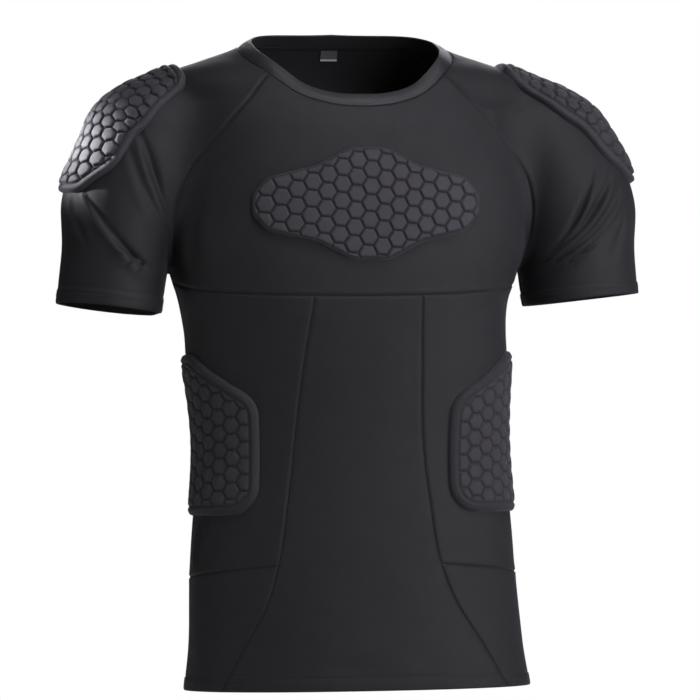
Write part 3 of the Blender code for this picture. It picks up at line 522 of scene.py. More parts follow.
padLook = {
    # groove is a painted shade colour, for the shaded grooves between cells and the darker borders
    "groove": (0.0215, 0.0209, 0.0236),
    "grooveShade": 0.85,
    "grooveRough": 0.20,
    "dark": (0.0385, 0.0374, 0.0428),
    "light": (0.0535, 0.0517, 0.0590),
    "mottle": ((120.0, 4.0, 0.6), (1900.0, 2.0, 0.4)),
    "rough": (0.52, 0.16, 140.0, 3.0),
    "sheen": 0.22,
    "sheenTint": (0.70, 0.67, 0.76),
    "specular": 0.34,
    "wale": 0.0006,
    "course": 0.0006,
    "fuzz": (1.0, 1500.0, 3.0),
    "relief": (0.00011, 0.5),
}
threadLook = {
    "dark": (0.0080, 0.0080, 0.0090),
    "light": (0.0170, 0.0170, 0.0190),
    "mottle": (700.0, 2.0),  # one noise alone
    "rough": (0.42, 0.2, 300.0, 2.0),
    "sheen": 0.15,
    "sheenTint": (0.6, 0.6, 0.65),
    "specular": 0.4,
}
labelLook = {
    "tape": (0.115, 0.113, 0.112),
    "shade": (0.07, 0.07, 0.07),
    "shadeNoise": (900.0, 2.0),
    "shadeShare": 0.4,
    "edge": (0.62, 0.62, 0.61),
    "edgeWidth": 0.0021,
    "roughness": 0.6,
    "sheen": 0.1,
    "sheenTint": (0.8, 0.8, 0.8),
    "specular": 0.35,
    "rib": 0.0006,
    "relief": (0.00006, 0.5),
}


def clothFinish():
    knit = Finish("stretch_knit", clothLook)
    knit.feed("Base Color", knit.mottled())
    knit.feed("Roughness", knit.roughened())
    knit.feed("Normal", knit.relief(knit.loops() + knit.fuzz()))
    return knit.material


def bandFinish():
    rib = Finish("neck_binding", bandLook)
    rib.feed("Base Color", rib.mottled())
    rib.feed("Roughness", rib.roughened())
    rib.feed("Normal", rib.relief(rib.loops()))
    return rib.material


def padFinish():
    face = Finish("pad_face", padLook)
    # Painted shade: the attribute laid by layPad darkens the grooves between cells and the pad borders toward
    # the groove colour
    shade = 1 - face.node("ShaderNodeAttribute", {"attribute_name": "crownAndPaintedShade"}, output="Fac")
    face.feed("Base Color", face.mix(shade * padLook["grooveShade"], face.mottled(), padLook["groove"]))
    face.feed("Roughness", face.roughened() + padLook["grooveRough"] * shade)
    face.feed("Normal", face.relief(face.loops() + face.fuzz()))
    return face.material


def threadFinish():
    thread = Finish("seam_thread", threadLook)
    mottle = thread.noise(*threadLook["mottle"])
    thread.feed("Base Color", thread.mix(mottle, threadLook["dark"], threadLook["light"]))
    thread.feed("Roughness", thread.roughened())
    return thread.material


def labelFinish():
    tape = Finish("label_tape", labelLook)
    tape.shader.inputs["Roughness"].default_value = labelLook["roughness"]
    up = tape.cloth()[1]
    shade = tape.noise(*labelLook["shadeNoise"]) * labelLook["shadeShare"]
    edge = tape.calc("LESS_THAN", up, labelLook["edgeWidth"])
    base = tape.mix(shade, labelLook["tape"], labelLook["shade"])
    tape.feed("Base Color", tape.mix(edge, base, labelLook["edge"]))
    tape.feed("Normal", tape.relief(tape.calc("SINE", up * (2 * math.pi / labelLook["rib"]))))
    return tape.material


finishes = {
    "knit": clothFinish(),
    "band_knit": bandFinish(),
    "pad_knit": padFinish(),
    "thread": threadFinish(),
    "label_tape": labelFinish(),
}
print("finishes ready:", ", ".join(finishes))

# Cloth panels
panelCut = {
    "wall": 0.0015,
    "smoothAngle": 60.0,
    "creaseFade": (0.002, 0.012),  # distances from a seam over which creases come in
    "waver": 0.00035,
    "waverLength": 0.07,
    "waverFade": (0.004, 0.03),
}
seam = {
    "steps": (0.0, 0.0009, 0.0024, 0.0042),  # columns beside a seam
    "dip": 0.0011,
    "dipReach": 0.0020,
    "raglanDip": 0.0013,  # deeper and wider where the sleeves join
    "raglanReach": 0.0032,
    "raglanFade": (-0.005, 0.03),  # heights over the underarm
    "puff": 0.00028,
    "puffAt": 0.0048,
    "puffReach": 0.0026,
    "puffUneven": 0.35,
    "pucker": 0.00012,
    "puckerLength": 0.012,
    "puckerAt": 0.004,
    "puckerReach": 0.006,
}
hem = {
    "steps": (0.0, 0.0010, 0.0026, 0.0070, 0.0108, 0.0124, 0.0138, 0.0152, 0.0168, 0.0195),
    "stitchAt": 0.0138,
    "fold": 0.0008,  # the turned-up layer
    "foldFade": (-0.0012, 0.0022),  # beside the stitching
    "groove": 0.0009,
    "grooveReach": 0.0013,
    "edge": 0.0007,
    "edgeReach": 0.0016,
    "sway": 0.0004,
    "swayLength": 0.05,
    "swayReach": 0.010,
}
noSteps = (0.0,)

# Points between the close-set ends of a panel's columns or rows, and the length that they share
panelNet = {
    "centerColumns": (56, 0.24),
    "sideColumns": (34, 0.19),
    "chestColumns": (96, 0.50),
    "backColumns": (84, 0.42),
    "sleeveColumns": (200, 0.36),
    "underarmRows": (5, 0.03),
    "chestRows": (52, 0.22),
    "backRows": (56, 0.22),
    "cuffRows": (12, 0.0485),
    "sleeveRows": (106, 0.21),
}

# Creases as seen from the front or the back: start, middle, end, half width, depth and the ridge beside
creases = {
    ("sleeve_left", "front"): (
        ((0.252, -0.110), (0.233, -0.166), (0.209, -0.202), 0.0024, 0.0034, 0.75),
        ((0.272, -0.113), (0.247, -0.165), (0.205, -0.210), 0.0025, 0.0040, 0.85),
        ((0.287, -0.121), (0.257, -0.174), (0.206, -0.219), 0.0024, 0.0034, 0.75),
        ((0.258, -0.189), (0.231, -0.213), (0.206, -0.230), 0.0024, 0.0030, 0.75),
        ((0.285, -0.170), (0.274, -0.201), (0.259, -0.225), 0.0032, 0.0026, 0.50),
        ((0.120, -0.054), (0.149, -0.043), (0.172, -0.035), 0.0055, 0.0016, -0.80),
        ((0.150, -0.072), (0.166, -0.058), (0.186, -0.046), 0.0055, 0.0020, -0.60),
    ),
    ("sleeve_left", "back"): (
        ((0.262, -0.125), (0.240, -0.172), (0.208, -0.205), 0.0042, 0.0034, 0.45),
        ((0.284, -0.140), (0.262, -0.190), (0.222, -0.222), 0.0036, 0.0026, 0.40),
        ((0.225, -0.105), (0.214, -0.140), (0.200, -0.178), 0.0050, 0.0026, 0.40),
    ),
    ("sleeve_right", "front"): (
        ((-0.230, -0.080), (-0.213, -0.125), (-0.194, -0.172), 0.0040, 0.0050, -0.45),
        ((-0.243, -0.098), (-0.222, -0.144), (-0.198, -0.181), 0.0044, 0.0020, -0.50),
        ((-0.288, -0.142), (-0.258, -0.187), (-0.207, -0.224), 0.0030, 0.0038, -1.00),
        ((-0.300, -0.146), (-0.298, -0.168), (-0.289, -0.190), 0.0034, 0.0022, -0.70),
        ((-0.250, -0.198), (-0.228, -0.213), (-0.206, -0.229), 0.0034, 0.0024, -0.50),
    ),
    ("sleeve_right", "back"): (
        ((-0.258, -0.118), (-0.238, -0.165), (-0.206, -0.203), 0.0044, 0.0038, -0.45),
        ((-0.286, -0.150), (-0.260, -0.192), (-0.218, -0.224), 0.0036, 0.0028, -0.40),
        ((-0.216, -0.100), (-0.208, -0.140), (-0.197, -0.180), 0.0050, 0.0024, -0.40),
    ),
    ("side_upper_right", "front"): (
        ((-0.160, -0.484), (-0.164, -0.506), (-0.166, -0.530), 0.0040, 0.0026, -0.60),
        ((-0.150, -0.484), (-0.155, -0.506), (-0.160, -0.527), 0.0036, 0.0022, -0.80),
        ((-0.140, -0.488), (-0.144, -0.508), (-0.148, -0.522), 0.0034, 0.0010, -0.50),
    ),
    ("side_upper_left", "front"): (
        ((0.132, -0.492), (0.140, -0.506), (0.150, -0.520), 0.0045, 0.0011, 0.40),
    ),
    ("front_chest", "front"): (
        ((-0.166, -0.150), (-0.172, -0.185), (-0.166, -0.222), 0.0070, 0.0018, 0.40),
        ((0.170, -0.160), (0.160, -0.195), (0.143, -0.226), 0.0080, 0.0010, 0.30),
    ),
    ("front_center", "front"): (
        ((-0.060, -0.630), (-0.020, -0.634), (0.030, -0.631), 0.0060, 0.0007, 0.30),
    ),
    ("back", "back"): (
        ((-0.150, -0.165), (-0.120, -0.200), (-0.070, -0.226), 0.0075, 0.0026, 0.40),
        ((0.152, -0.160), (0.118, -0.204), (0.064, -0.234), 0.0080, 0.0028, -0.40),
        ((-0.120, -0.360), (-0.060, -0.384), (0.010, -0.388), 0.0070, 0.0026, 0.45),
        ((0.128, -0.372), (0.070, -0.402), (-0.006, -0.416), 0.0065, 0.0028, -0.45),
        ((-0.128, -0.418), (-0.076, -0.436), (-0.020, -0.440), 0.0065, 0.0018, 0.40),
        ((0.120, -0.452), (0.084, -0.466), (0.036, -0.470), 0.0060, 0.0016, -0.40),
    ),
}
creaseShape = {
    "steps": 24,
    "reach": 0.045,  # cloth further off stays as it is
    "sharpness": 1.5,
    "ridgeAt": 1.9,  # in half widths
    "ridgeReach": 1.25,
    "uneven": 0.22,
}


def spread(count, length, first=seam["steps"], last=seam["steps"]):  # shares, closer at the two ends
    low = np.array(first) / length
    high = 1 - np.array(last)[::-1] / length
    return np.concatenate([low[:-1], np.linspace(low[-1], high[0], count + 1), high[1:]])


def reaches(points):  # distance of each point from the panel's four edges
    across = np.linalg.norm(np.diff(points, axis=1), axis=2)
    along = np.linalg.norm(np.diff(points, axis=0), axis=2)
    left = np.pad(np.cumsum(across, axis=1), ((0, 0), (1, 0)))
    bottom = np.pad(np.cumsum(along, axis=0), ((1, 0), (0, 0)))
    return {"left": left, "right": left[:, -1:] - left, "bottom": bottom, "top": bottom[-1:] - bottom}


def seamRelief(points, away, upright):
    uneven = 1 + seam["puffUneven"] * wobble(points, seam["puckerLength"] * 3, 3)
    low, high = (underarm[2] + step for step in seam["raglanFade"])
    raglan = upright * smooth(low, high, points[..., 2])
    dip = seam["dip"] + raglan * (seam["raglanDip"] - seam["dip"])
    reach = seam["dipReach"] + raglan * (seam["raglanReach"] - seam["dipReach"])
    puff = seam["puff"] * uneven * bump(away, seam["puffAt"], seam["puffReach"])
    pucker = seam["pucker"] * wobble(points, seam["puckerLength"], 5)
    pucker = pucker * bump(away, seam["puckerAt"], seam["puckerReach"])
    return puff + pucker - dip * (1 - smooth(0.0, reach, away))


def hemRelief(points, away):
    low, high = (hem["stitchAt"] + step for step in hem["foldFade"])
    fold = hem["fold"] * (1 - smooth(low, high, away))
    groove = hem["groove"] * bump(away, hem["stitchAt"], hem["grooveReach"])
    edge = hem["edge"] * (1 - smooth(0.0, hem["edgeReach"], away))
    sway = hem["sway"] * wobble(points, hem["swayLength"], 8) * bump(away, 0.0, hem["swayReach"])
    return fold - groove - edge + sway


def creaseRelief(piece, points, facing):
    push = np.zeros(points.shape[:2])
    flat = points.reshape(-1, 3)
    last = creaseShape["steps"]
    t = np.linspace(0, 1, last + 1)[:, None]
    worn = [(face, row) for (node, face), rows in creases.items() if node == piece for row in rows]
    for face, (start, middle, end, halfWidth, depth, ridge) in worn:
        a, b, c = np.array(start), np.array(middle), np.array(end)
        xz = (1 - t) * (1 - 2 * t) * a + 4 * t * (1 - t) * b + t * (2 * t - 1) * c
        inside = np.stack([xz[:, 0], armRings.at("centerY", xz[:, 1]), xz[:, 1]], axis=-1)
        path = cast(inside, toward[face])
        run = unit(np.gradient(path, axis=0))
        nearest = np.argmin(((flat[:, None] - path[None]) ** 2).sum(axis=-1), axis=1)
        miss = flat - path[nearest]
        beside = np.sum(miss * np.cross(facing.reshape(-1, 3), run[nearest]), axis=1)
        past = np.where((nearest == 0) | (nearest == last), np.sum(miss * run[nearest], axis=1), 0.0)
        share = nearest / last
        taper = np.sin(math.pi * (0.06 + 0.88 * share)) ** 0.7  # thin at both ends
        taper = taper * (1 + creaseShape["uneven"] * np.sin(9 * share + 40 * a[0]))
        width = halfWidth * (0.75 + 0.5 * np.sin(math.pi * share))
        near = np.linalg.norm(miss, axis=1) < creaseShape["reach"]
        trough = np.exp(-np.abs(beside / width) ** creaseShape["sharpness"])
        ridgeAt = math.copysign(creaseShape["ridgeAt"], ridge) * width
        raised = abs(ridge) * bump(beside, ridgeAt, creaseShape["ridgeReach"] * width)
        fade = taper * near * bump(past, 0.0, width)
        push += (depth * fade * (raised - trough)).reshape(push.shape)
    return push


def settle(mesh):  # moves the points of the even cut to where the worn shirt carries them
    points = np.zeros(3 * len(mesh.vertices))
    mesh.vertices.foreach_get("co", points)
    points = points.reshape(-1, 3)
    place = np.interp(points[:, 0], settleCut["x"], range(len(settleCut["x"])))
    nearer = np.minimum(place.astype(int), len(settleCut["x"]) - 2)
    share = smooth(0.0, 1.0, place - nearer)
    each = np.arange(len(points))
    moves = []
    for axis in ("sideways", "upward"):
        across = np.array([settleMoves[axis].at(name, points[:, 2]) for name in settleCut["columns"][1:]])
        moves.append((1 - share) * across[nearer, each] + share * across[nearer + 1, each])
    points[:, 0] += moves[0]
    points[:, 2] += moves[1]
    mesh.vertices.foreach_set("co", points.ravel())
    mesh.update()


def dress(piece, nodes, finish):  # ties a finished piece to the frame
    settle(piece.data)
    piece.data.materials.clear()
    piece.data.materials.append(finishes[finish])
    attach(piece, "root")
    if nodes:
        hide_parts(*nodes)


def layUv(mesh, uv):  # uv in metres for each point
    corner = np.zeros(len(mesh.loops), int)
    mesh.loops.foreach_get("vertex_index", corner)
    layer = mesh.uv_layers.get("UVMap") or mesh.uv_layers.new(name="UVMap")
    layer.data.foreach_set("uv", uv[corner].astype(np.float32).ravel())


def gridPiece(name, points, uv, wall, smoothAngle):  # a walled sheet through a grid of points
    rows, columns = points.shape[:2]
    bpy.ops.object.select_all(action="DESELECT")
    bpy.ops.mesh.primitive_grid_add(x_subdivisions=columns - 1, y_subdivisions=rows - 1, size=1.0)
    piece = bpy.context.object
    piece.name = piece.data.name = name
    piece.data.vertices.foreach_set("co", points.astype(np.float32).ravel())
    layUv(piece.data, uv.reshape(-1, 2))
    thick = piece.modifiers.new("wall", "SOLIDIFY")
    thick.thickness = wall
    thick.offset = -1.0
    bpy.ops.object.modifier_apply(modifier="wall")
    bpy.ops.object.shade_smooth_by_angle(angle=math.radians(smoothAngle))
    return piece


def meshPiece(name, mesh):
    piece = bpy.data.objects.new(name, mesh)
    bpy.context.scene.collection.objects.link(piece)
    mesh.shade_smooth()
    return piece


panelPoints = {}  # finished outer points of each panel and their directions, for the stitches


def sewPanel(node, points, bottom):
    facing = outward(points)
    away = reaches(points)
    edges = {"left": "seam", "right": "seam", "bottom": bottom, "top": "seam"}
    seams = [side for side in edges if edges[side] == "seam"]
    inner = np.min([away[side] for side in seams], axis=0)
    push = creaseRelief(node, points, facing) * smooth(*panelCut["creaseFade"], inner)
    waver = panelCut["waver"] * wobble(points, panelCut["waverLength"], 11)
    push += waver * smooth(*panelCut["waverFade"], inner)
    sewn = [seamRelief(points, away[side], side in ("left", "right")) for side in seams]
    push += np.minimum(np.min(sewn, axis=0), 0) + np.maximum(np.max(sewn, axis=0), 0)
    if bottom == "hem":
        push += hemRelief(points, away["bottom"])
    laid = points + push[..., None] * facing
    uv = np.stack([away["left"] - away["left"][:, -1:] / 2, away["bottom"]], axis=-1)
    piece = gridPiece("cloth_" + node, laid, uv, panelCut["wall"], panelCut["smoothAngle"])
    panelPoints[node] = {"points": laid, "facing": facing, "edges": edges, "piece": piece}
    dress(piece, [node], "knit")


def princessTurn(z):
    return np.radians(princess.at("turn", z))


lowerTop = float(chestSeamZ(princessTurn(0.0)))  # where the front seams meet the chest seam


def rowHeight(z, turn):  # height of a lower-body row as it runs round
    seamZ = lowerCut["sideSeamZ"]
    rise = np.clip((z - seamZ) / (lowerTop - seamZ), 0, 1) ** 3
    slant = np.clip(1 - np.abs(z - seamZ) / lowerCut["slantReach"], 0, 1)
    past = np.clip((np.abs(turn) - princessTurn(z)) / lowerCut["dropTurn"], 0, 1)
    level = chestSeamZ(np.minimum(np.abs(turn), math.pi / 2))
    return z + rise * (level - lowerTop) - slant * (lowerCut["sideSeamDrop"] * past)


def backTurn(z):
    at = z
    for _ in range(4):
        turn = np.radians(backSeam.at("turn", at))
        at = rowHeight(z, turn)
    return turn


def rowsBetween(count, low, high, first):
    return (low + (high - low) * spread(count, high - low, first))[:, None]


lowRows = rowsBetween(24, lowerCut["hemZ"], lowerCut["sideSeamZ"], hem["steps"])
waistRows = rowsBetween(68, lowerCut["sideSeamZ"], lowerTop, seam["steps"])
wholeRows = rowsBetween(96, lowerCut["hemZ"], lowerTop, hem["steps"])


def sewFrontCenter():
    turn = princessTurn(wholeRows) * (2 * spread(*panelNet["centerColumns"]) - 1)
    sewPanel("front_center", around(turn, rowHeight(wholeRows, turn)), "hem")


def sewSide(side, sign):
    share = spread(*panelNet["sideColumns"])
    share = 1.25 * share - 0.25 * share**2  # closer where the body turns
    for name, z, bottom in (("side_lower_", lowRows, "hem"), ("side_upper_", waistRows, "seam")):
        last = np.where(z > lowerTop - 1e-9, math.pi / 2, backTurn(z))
        turn = princessTurn(z) + (last - princessTurn(z)) * share
        points = around(sign * turn, rowHeight(z, turn))
        sewPanel(name + side, points if sign > 0 else points[:, ::-1], bottom)


def upperEdge(which, v):  # side of an upper panel: up the side seam, then up the raglan
    share = raglanCut["sideShare"]
    low = v < share - 1e-9
    points = np.zeros((len(v), 3))
    lowZ = lowerCut["chestSideZ"] + (underarm[2] - lowerCut["chestSideZ"]) * v[low] / share
    points[low] = around(math.pi / 2, lowZ)
    points[~low] = raglanSeam(which, (v[~low] - share) / (1 - share))
    return points


def upperRows(name):
    share = raglanCut["sideShare"]
    low = share * spread(*panelNet["underarmRows"], last=noSteps)
    high = share + (1 - share) * spread(*panelNet[name], first=noSteps)
    return np.concatenate([low[:-1], high])


def upperPanel(which, u, v, bottomZ):
    side = upperEdge(which, v)
    edge = chart(side)
    limit = raglanCut["neckTurn"][which]
    turn = math.pi * (u - 0.5)
    if which == "back":
        edge[:, 0] = math.pi - edge[:, 0]
        neckTurn = math.pi - (math.pi - limit) * (2 * u - 1)
        top = chart(neckSeam(neckTurn))
        top[:, 0] = math.pi - np.where(top[:, 0] < 0, top[:, 0] + 2 * math.pi, top[:, 0])
    else:
        neckTurn = limit * (2 * u - 1)
        top = chart(neckSeam(neckTurn))
    bottom = np.stack([turn, np.broadcast_to(bottomZ(turn), turn.shape)], axis=-1)
    patch = filled(bottom, top, edge * otherSide[:2], edge, u, v)
    turns = math.pi - patch[..., 0] if which == "back" else patch[..., 0]
    points = around(turns, patch[..., 1])
    points[:, -1] = side
    points[:, 0] = side * otherSide
    points[-1] = neckSeam(neckTurn)
    return points


def sewChest():
    u = spread(*panelNet["chestColumns"])
    sewPanel("front_chest", upperPanel("front", u, upperRows("chestRows"), chestSeamZ), "seam")


def sewBack():
    u = spread(*panelNet["backColumns"])
    z = wholeRows[:-1]
    edge = backTurn(z)
    turn = edge + (2 * math.pi - 2 * edge) * u
    lower = around(turn, np.broadcast_to(rowHeight(z, edge), turn.shape))
    rows = upperRows("backRows")[3:]  # no seam at the chest, so no rows set close for one
    upper = upperPanel("back", u, rows, lambda turn: lowerCut["chestSideZ"])[:, ::-1]
    sewPanel("back", np.concatenate([lower[:-2], upper]), "hem")


def sleeveFrame(along):
    tilt = np.radians(spine.at("tilt", along))
    middle = np.array([float(spine.at(name, along)) for name in "xyz"])
    out = np.array([math.cos(tilt), 0.0, math.sin(tilt)])
    up = np.array([-math.sin(tilt), 0.0, math.cos(tilt)])
    return middle, toward["front"], out, up


def sleevePolar(p, place):
    middle, ahead, out, up = place
    d = p - middle
    return np.stack([np.arctan2(d @ ahead, d @ out), d @ up], axis=-1)


def sleevePoints(polar, place):
    middle, ahead, out, up = place
    start = middle + polar[:, 1:] * up
    return cast(start, np.cos(polar[:, :1]) * out + np.sin(polar[:, :1]) * ahead)


def sleeveGrid():
    share = spread(*panelNet["sleeveColumns"])
    ends = raglanCut["neckTurn"]
    neck = neckSeam(ends["front"] + (ends["back"] - ends["front"]) * share)
    end = sleevePolar(neck, sleeveFrame(1.0))
    bow = end - (1 - share)[:, None] * end[0] - share[:, None] * end[-1]
    bowFrom = 0.45  # of the way up the raglan
    turn = math.pi * (1 - 2 * share)
    cuff = np.stack([turn, np.zeros_like(turn)], axis=-1)
    cuffRows = spread(*panelNet["cuffRows"], hem["steps"], noSteps)[:-1] - 1
    grid = [sleevePoints(cuff, sleeveFrame(along)) for along in cuffRows]
    rows = spread(*panelNet["sleeveRows"], first=noSteps)
    front, behind = raglanSeam("front", rows), raglanSeam("back", rows)
    for row, along in enumerate(rows):
        place = sleeveFrame(along)
        first, last = sleevePolar(front[row], place), sleevePolar(behind[row], place)
        first[0] += 2 * math.pi * (first[0] < 0)
        last[0] -= 2 * math.pi * (last[0] > 0)
        polar = (1 - share)[:, None] * first + share[:, None] * last
        points = sleevePoints(polar + bow * np.clip((along - bowFrom) / (1 - bowFrom), 0, 1) ** 2, place)
        points[0], points[-1] = front[row], behind[row]
        grid.append(points)
    grid[-1] = neck
    return np.array(grid)


def sewSleeves():
    grid = sleeveGrid()
    sewPanel("sleeve_left", grid, "hem")
    sewPanel("sleeve_right", (grid * otherSide)[:, ::-1], "hem")


sewFrontCenter()
sewSide("left", 1.0)
sewSide("right", -1.0)
sewChest()
sewBack()
sewSleeves()
print("panels sewn:", len(panelPoints))

# Neck binding
bandCut = {
    "columns": ("turn", "inward", "rise"),
    "rows": (
        (0.0, 0.0085, 0.0122),
        (35.0, 0.0102, 0.0105),
        (60.0, 0.0105, 0.0100),
        (90.0, 0.0135, 0.0070),
        (120.0, 0.0120, 0.0090),
        (150.0, 0.0105, 0.0105),
        (180.0, 0.0090, 0.0120),
    ),
    "wall": 0.0022,
    "swell": 0.0009,
    "edgeSteps": 7,  # round the folded edge
    "insideRows": 6,
    "swell": 0.0009,
    "uneven": 0.00025,
    "unevenLength": 0.03,
    "stations": 240,
    "faceRows": 14,
    "rowWidth": 0.0012,
    "stitchAt": 0.16,  # share of the width from the seam
    "stitchGroove": 0.0003,
    "grooveReach": 0.06,
    "smoothAngle": 60.0,
}
bandRings = Sections(bandCut)


def bandSection():  # share of the width, height off the middle and way past the edge
    half = bandCut["wall"] / 2
    section = []
    for t in np.linspace(0, 1, bandCut["faceRows"]):
        groove = bandCut["stitchGroove"] * bump(t, bandCut["stitchAt"], bandCut["grooveReach"])
        section.append((t, half + bandCut["swell"] * math.sin(math.pi * t) - groove, 0.0))
    for k in range(1, bandCut["edgeSteps"]):
        turn = math.pi * k / bandCut["edgeSteps"]
        section.append((1.0, half * math.cos(turn), half * math.sin(turn)))
    for t in np.linspace(1, 0, bandCut["insideRows"]):
        section.append((t, -half, 0.0))
    return section


def neckBand():
    turn = np.linspace(0, 2 * math.pi, bandCut["stations"] + 1)[:-1]
    seamLine = neckSeam(turn)
    plan = np.array([0.0, neckCut["middleY"], 0.0])
    out = unit((seamLine - plan) * np.array([1.0, 1.0, 0.0]))
    bearing = np.degrees(np.abs(np.arctan2(seamLine[:, 0], neckCut["middleY"] - seamLine[:, 1])))
    inward = bandRings.at("inward", bearing)[:, None]
    rise = bandRings.at("rise", bearing)[:, None]
    run = unit(-inward * out + rise * toward["top"])
    face = unit(rise * out + inward * toward["top"])
    width = np.hypot(inward, rise)
    section = bandSection()
    bpy.ops.object.select_all(action="DESELECT")
    bpy.ops.mesh.primitive_torus_add(major_segments=len(turn), minor_segments=len(section), generate_uvs=True)
    piece = bpy.context.object
    piece.name = piece.data.name = "neck_binding"
    foot = seamLine - face * (bandCut["wall"] / 2)
    wave = bandCut["uneven"] * wobble(seamLine, bandCut["unevenLength"], 21)[:, None]
    rings = []
    for t, height, over in section:
        rings.append(foot + run * (width * t + over) + face * (height + wave * math.sin(math.pi * t)))
    points = np.stack(rings, axis=1)
    piece.data.vertices.foreach_set("co", points.astype(np.float32).ravel())
    girth = np.cumsum(np.linalg.norm(np.diff(seamLine, axis=0, prepend=seamLine[-1:]), axis=1))
    along = np.broadcast_to(girth[:, None], points.shape[:2])
    height = np.broadcast_to(np.arange(len(section)) * bandCut["rowWidth"], points.shape[:2])
    layUv(piece.data, np.stack([along, height], axis=-1).reshape(-1, 2))
    bpy.ops.object.mode_set(mode="EDIT")
    bpy.ops.mesh.select_all(action="SELECT")
    bpy.ops.mesh.normals_make_consistent(inside=False)
    bpy.ops.object.mode_set(mode="OBJECT")
    bpy.ops.object.shade_smooth_by_angle(angle=math.radians(bandCut["smoothAngle"]))
    stitchRow = int(round(bandCut["stitchAt"] * (bandCut["faceRows"] - 1)))
    closed = np.concatenate([points[:, stitchRow], points[:1, stitchRow]])
    dress(piece, ["neckband"], "band_knit")
    return piece, closed, np.concatenate([face, face[:1]])


binding, bindingLine, bindingFace = neckBand()
print("neck binding laid")

# Honeycomb pads
cells = {
    "pitch": 0.0172,
    "fine": 16,  # mesh points to a pitch
    "edgeGap": 0.45,  # free space inside the outline, in mesh points
    "footCoarse": 6,  # size of the hidden foot's mesh beside the top's
    "footGap": 2.0,
    "footDepth": 0.0012,
    "footShade": 0.5,
    "lift": 0.0002,
    "outlineStep": 0.0018,
    "middleNet": 0.004,  # finds the middle of the space inside the border
    "fieldFade": (-0.0012, 0.0006),  # from the border to the cells
}
padCuts = {  # outlines as places along and across the pad, with the radius of each corner
    # Painted shade: borderShade darkens each pad's border, and the last per-pad factor darkens a whole pad
    # where less light falls on it
    "chest_pad": {
        "top": 0.0040, "round": 0.0026, "border": 0.0024, "borderShade": 0.45, "paintedLight": 1.0,
        "ridge": 0.0, "ridgeAt": 0.001, "ridgeReach": 0.001,
        "rise": 0.0014, "sink": 0.0006, "groove": 0.0006, "cellRound": 0.0019, "dome": 0.0002,
        "turn": -4.5, "middleZ": -0.158,
        "quarter": (
            (0.0200, 0.0580, 0.022),
            (0.0540, 0.0395, 0.050),
            (0.1040, 0.0275, 0.024),
            (0.1180, 0.0095, 0.014),
        ),
    },
    "shoulder_pad": {
        "top": 0.0054, "round": 0.0034, "border": 0.0078, "borderShade": 0.80, "paintedLight": 0.85,
        "ridge": 0.0004, "ridgeAt": 0.0044, "ridgeReach": 0.0028,
        "rise": 0.0022, "sink": 0.0012, "groove": 0.0006, "cellRound": 0.0027, "dome": 0.0005,
        "turn": 0.0, "radius": 0.064, "pivot": (0.165, -0.200), "tilts": (100.0, -5.0), "points": 400,
        "leanTilts": (0.0, 1.2, 1.8), "lean": (0.006, 0.024, 0.036),
        "ahead": {"left": 0.011, "right": 0.021}, "startX": {"left": 0.170, "right": 0.180},
        "half": (
            (0.000, 0.036, 0.020),
            (0.075, 0.065, 0.080),
            (0.160, 0.056, 0.050),
            (0.198, 0.026, 0.026),
        ),
    },
    "rib_pad": {
        "top": 0.0046, "round": 0.0046, "border": 0.0092, "borderShade": 0.24, "paintedLight": 0.64,
        "ridge": 0.0008, "ridgeAt": 0.0058, "ridgeReach": 0.0017,
        "rise": 0.0011, "sink": 0.0005, "groove": 0.0006, "cellRound": 0.0030, "dome": 0.0004,
        "turn": 0.0, "ahead": {"left": 0.0072, "right": -0.0005},
        "girthZ": -0.40, "girthOver": 0.3, "points": 400,
        "outline": (
            (-0.036, -0.4755, 0.012),
            (0.108, -0.4755, 0.030),
            (0.108, -0.358, 0.030),
            (0.030, -0.307, 0.020),
            (-0.036, -0.307, 0.010),
        ),
    },
}


def rounded(corners, step):  # closed outline through corners with their own radii
    corner = np.array([row[:2] for row in corners])
    count = len(corners)
    points = []
    for i, row in enumerate(corners):
        before, here, after = corner[i - 1], corner[i], corner[(i + 1) % count]
        into, out = unit(here - before), unit(after - here)
        turn = math.atan2(into[0] * out[1] - into[1] * out[0], into @ out)
        most = 0.499 * min(np.linalg.norm(here - before), np.linalg.norm(after - here))
        cut = min(row[2] * math.tan(abs(turn) / 2), most)
        r = cut / math.tan(abs(turn) / 2)
        side = np.array([-into[1], into[0]]) * math.copysign(1, turn)
        middle = here - into * cut + side * r
        pieces = max(1, round(r * abs(turn) / step))
        for k in range(pieces + 1):
            c, s = math.cos(turn * k / pieces), math.sin(turn * k / pieces)
            spoke = -side * r
            points.append(middle + np.array([c * spoke[0] - s * spoke[1], s * spoke[0] + c * spoke[1]]))
    outline = []
    for i, here in enumerate(points):
        after = points[(i + 1) % len(points)]
        gap = np.linalg.norm(after - here)
        if gap < 0.25 * step:
            continue
        pieces = max(1, round(gap / step))
        outline += [here + (after - here) * k / pieces for k in range(pieces)]
    return np.array(outline)


def insideBy(flat, outline):  # distance inside an outline, below zero outside
    after = np.roll(outline, -1, axis=0)
    run = after - outline
    least = np.full(len(flat), 9.0)
    crossings = np.zeros(len(flat), int)
    for p, q, d in zip(outline, after, run):
        t = np.clip((flat - p) @ d / (d @ d), 0, 1)
        least = np.minimum(least, np.linalg.norm(flat - p - t[:, None] * d, axis=1))
        spans = (p[1] > flat[:, 1]) != (q[1] > flat[:, 1])
        rise = d[1] if d[1] else 1.0
        crossings += spans & (p[0] + (flat[:, 1] - p[1]) * d[0] / rise > flat[:, 0])
    return np.where(crossings % 2 == 1, least, -least)


